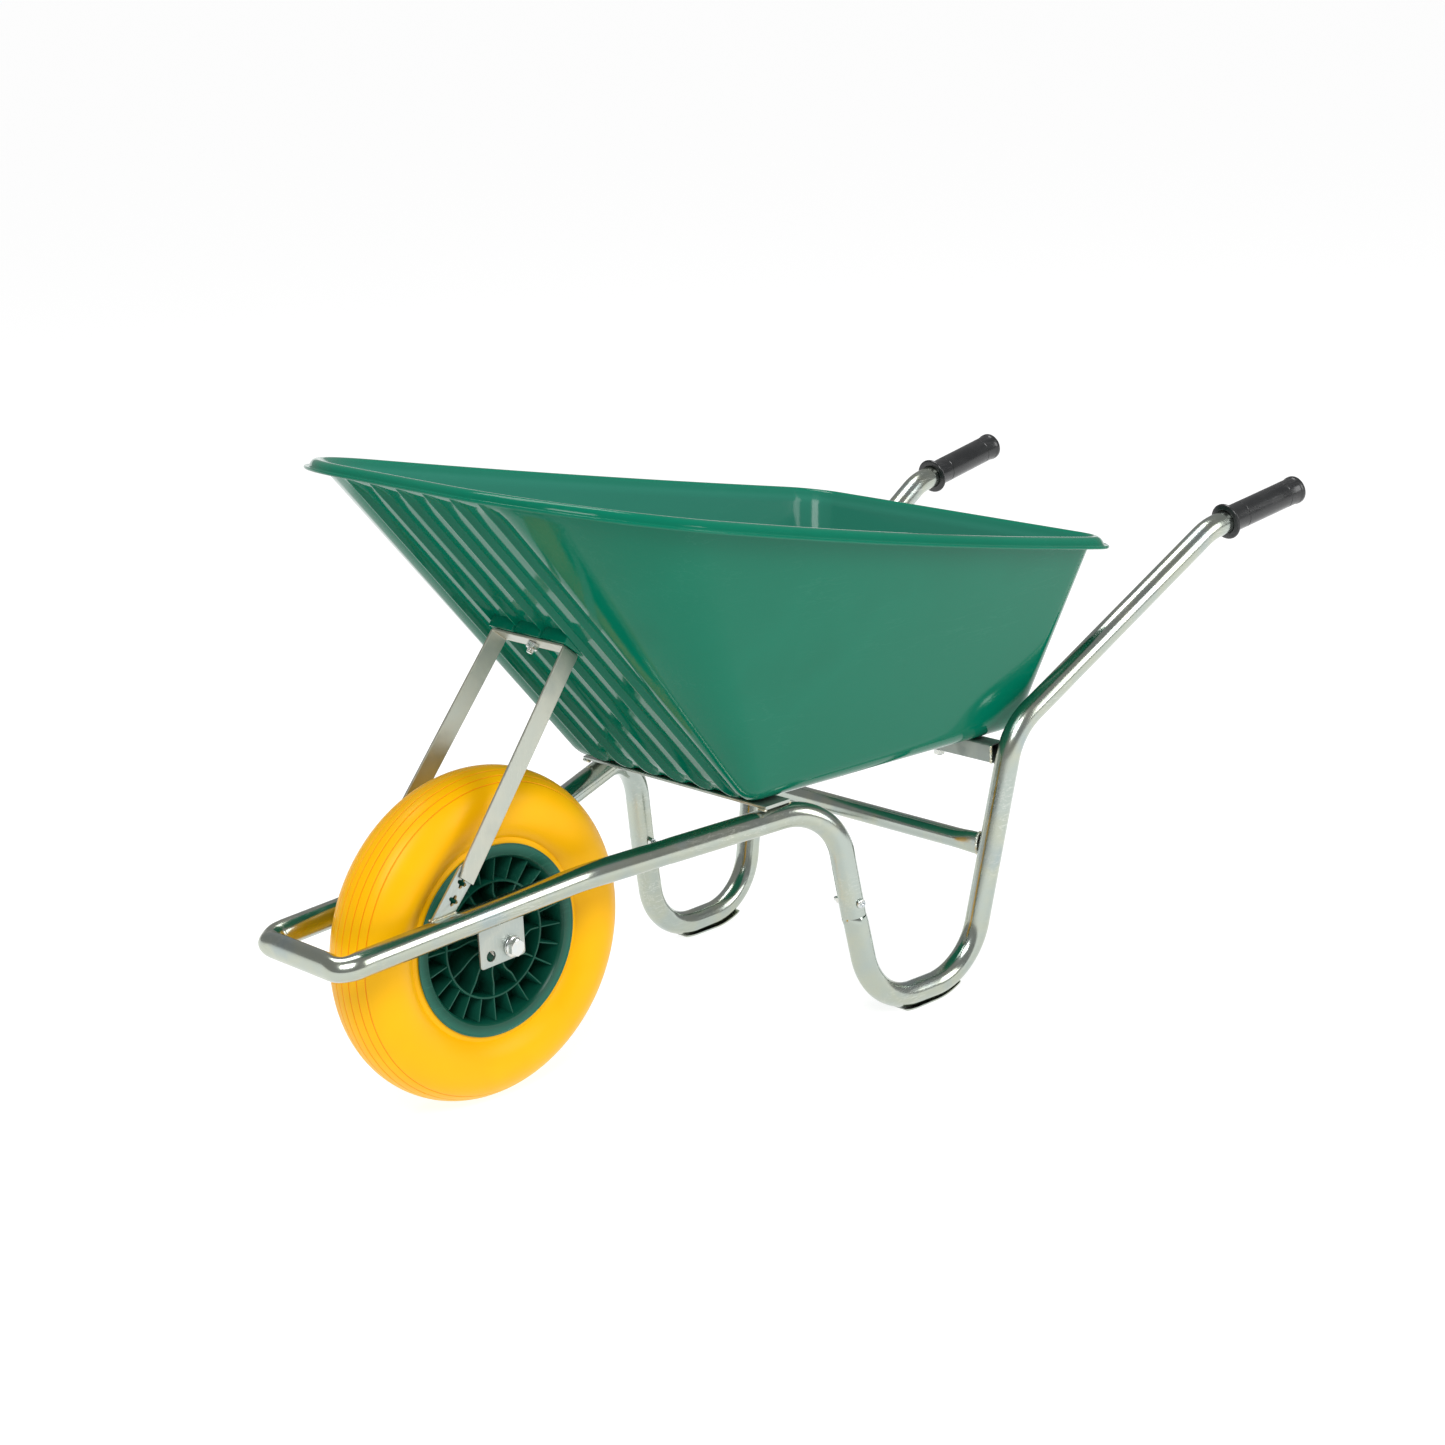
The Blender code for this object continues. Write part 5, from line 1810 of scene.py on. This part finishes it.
@dataclass
class SmallBolts:
    """The bolts that hold the tray to the frame and the legs in their sleeves."""

    shop: Workshop
    tray: Tray
    frame: TubeFrame

    def build(self) -> None:
        """Builds all of them."""
        make = Fasteners(self.shop)
        floor_top = self.tray.floor_z + self.tray.wall + GAP
        up = Vector((0, 0, 1))
        for (x, y), where, under in (
            (self.tray.front_bolts, "front", 0.004 + GAP),
            (self.tray.rear_bolts, "rear", self.frame.square + GAP),
        ):
            for side, name in SIDES:
                washer = Vector((x, side * y, floor_top))
                make.washer(f"tray_washer_{where}_{name}", washer, up, 0.0120, 0.0043, 0.0016)
                head = washer + up * (0.0016 + GAP)
                below = self.tray.floor_z - under - GAP
                length = head.z - below + 0.0085
                make.bolt(f"tray_bolt_{where}_{name}", head, -up, 0.004, length, 0.009, 0.004)
                nut_place = Vector((x, side * y, below))
                make.nut(f"tray_nut_{where}_{name}", nut_place, -up, 0.0075, 0.0043, 0.0065)
        for side, name in SIDES:
            place, out = self.sleeve_place(side)
            self.build_pan_head(f"sleeve_bolt_{name}", place + out * (0.015 + GAP), -out)
            make.nut(f"sleeve_nut_{name}", place - out * (0.015 + GAP), -out, 0.0058, 0.0033, 0.005)

    def sleeve_place(self, side: int) -> tuple[Vector, Vector]:
        """Centre of the sleeve at its bolt, and the way out of it, sideways.

        Args:
            side: -1 for left and 1 for right.

        Returns:
            The place and the direction.
        """
        low, high = on_side(self.frame.sleeve_end, side), on_side(self.frame.crest, side)
        along = (high - low).normalized()
        out = Vector((0, side, 0))
        return toward(low, high, self.frame.bolt_up), (out - along * out.dot(along)).normalized()

    def build_pan_head(self, name: str, place: Vector, along: Vector) -> None:
        """A domed screw with a cross recess.

        Args:
            name: The node it stands for.
            place: The seat of its head.
            along: The direction of its shank.
        """
        matrix = upright(tuple(place), along)
        profile = [(0.0058, 0.0), (0.0060, -0.0004), (0.0060, -0.0014), (0.0054, -0.0026), (0.0042, -0.0034),
                   (0.0030, -0.0037), (0.0015, -0.0038), (0.0002, -0.0038)]
        rings = turned(profile, matrix, 64)
        angles = np.linspace(0, 2 * math.pi, 64, endpoint=False)
        arm = np.abs(np.cos(2 * angles)) ** 8
        inward = matrix[:3, 2]
        for index, depth in ((4, 0.2), (5, 1.0), (6, 1.0), (7, 1.0)):
            rings[index] += inward * (0.0016 * depth * (arm if index < 7 else np.ones(64)))[:, None]
        form = Form()
        form.loft(rings)
        form.loft(turned([(0.0029, -0.0005), (0.0029, 0.0410), (0.0024, 0.0420)], matrix, 24))
        self.shop.finish(f"{name}_piece", form.mesh(name), Surface.FASTENER, [name], sharp=30.0)


# ------------------------------------------------------------------ stage


@dataclass(frozen=True)
class Lamp:
    """A soft rectangular light that points at the barrow."""

    name: str
    place: Point
    size: Pair
    power: float
    colour: Colour = (1.0, 1.0, 1.0)


@dataclass
class Stage:
    """The floor, the lights and the camera."""

    lens: float = 71.0
    azimuth: float = -43.26
    elevation: float = 16.24
    roll: float = -2.33
    place: Point = (-2.3226, -2.3888, 1.3044)
    floor_half: float = 150.0
    floor_albedo: float = 0.35
    floor_glow: float = 0.86
    sky: float = 0.32
    lamps: tuple[Lamp, ...] = (
        Lamp("key", (-2.6, -2.4, 3.4), (1.8, 1.8), 105.0),
        Lamp("fill", (1.8, -3.4, 2.0), (1.6, 2.2), 55.0),
        Lamp("top", (0.2, 0.8, 3.6), (2.6, 1.4), 75.0),
    )

    def build(self) -> None:
        """Builds the set."""
        self.build_floor()
        self.build_world()
        for lamp in self.lamps:
            self.build_lamp(lamp)
        self.build_camera()

    def build_floor(self) -> None:
        """A very large plain floor."""
        half = self.floor_half
        mesh = bpy.data.meshes.new("floor")
        corners = [(-half, -half, 0), (half, -half, 0), (half, half, 0), (-half, half, 0)]
        mesh.from_pydata(corners, [], [(0, 1, 2, 3)])
        material = bpy.data.materials.new("pale_floor")
        material.use_nodes = True
        shader = material.node_tree.nodes["Principled BSDF"]
        shader.inputs["Base Color"].default_value = (*(self.floor_albedo,) * 3, 1.0)
        shader.inputs["Roughness"].default_value = 0.9
        shader.inputs["Specular IOR Level"].default_value = 0.1
        shader.inputs["Emission Color"].default_value = (1.0, 1.0, 1.0, 1.0)
        shader.inputs["Emission Strength"].default_value = self.floor_glow
        mesh.materials.append(material)
        floor = bpy.data.objects.new("floor", mesh)
        bpy.context.scene.collection.objects.link(floor)
        floor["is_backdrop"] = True

    def build_world(self) -> None:
        """An even white surround."""
        world = bpy.data.worlds.new("studio")
        world.use_nodes = True
        back = world.node_tree.nodes["Background"]
        back.inputs["Color"].default_value = (1.0, 1.0, 1.0, 1.0)
        back.inputs["Strength"].default_value = self.sky
        bpy.context.scene.world = world

    def build_lamp(self, lamp: Lamp) -> None:
        """Adds one light."""
        light = bpy.data.lights.new(lamp.name, "AREA")
        light.shape = "RECTANGLE"
        light.size, light.size_y = lamp.size
        light.energy = lamp.power
        light.color = lamp.colour
        holder = bpy.data.objects.new(lamp.name, light)
        holder.location = lamp.place
        aim = Vector((0.0, 0.0, 0.35)) - Vector(lamp.place)
        holder.rotation_euler = aim.to_track_quat("-Z", "Y").to_euler()
        bpy.context.scene.collection.objects.link(holder)
        holder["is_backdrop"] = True

    def build_camera(self) -> None:
        """The camera, ahead of the barrow on its left."""
        azimuth, elevation, roll = (math.radians(a) for a in (self.azimuth, self.elevation, self.roll))
        back = Vector((
            math.sin(azimuth) * math.cos(elevation),
            -math.cos(azimuth) * math.cos(elevation),
            math.sin(elevation),
        ))
        right = Vector((0, 0, 1)).cross(back).normalized()
        up = back.cross(right)
        turned_right = right * math.cos(roll) + up * math.sin(roll)
        turned_up = up * math.cos(roll) - right * math.sin(roll)
        camera = bpy.data.cameras.new("camera")
        camera.lens = self.lens
        camera.sensor_width = 36.0
        camera.clip_end = 400.0
        holder = bpy.data.objects.new("camera", camera)
        matrix = Matrix((turned_right, turned_up, back)).transposed().to_4x4()
        matrix.translation = Vector(self.place)
        holder.matrix_world = matrix
        bpy.context.scene.collection.objects.link(holder)
        bpy.context.scene.camera = holder
        scene = bpy.context.scene
        scene.view_settings.view_transform = "Standard"


def write_size() -> None:
    """Updates the view layer once the finished pieces stand in for the frame."""
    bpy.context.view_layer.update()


def main() -> None:
    """Builds the whole barrow and its set."""
    logging.basicConfig(level=logging.INFO, format="%(name)s: %(message)s")
    shop = Workshop()
    grow = Growers()
    tray = Tray(shop, grow)
    frame = TubeFrame(shop, grow)
    for part in (
        tray, frame, FrontBrace(shop, grow), Wheel(shop, grow), Axle(shop, grow), Handles(shop),
        SmallBolts(shop, tray, frame),
    ):
        LOG.info("building %s", type(part).__name__)
        part.build()
    write_size()
    Stage().build()


if __name__ == "__main__":
    main()
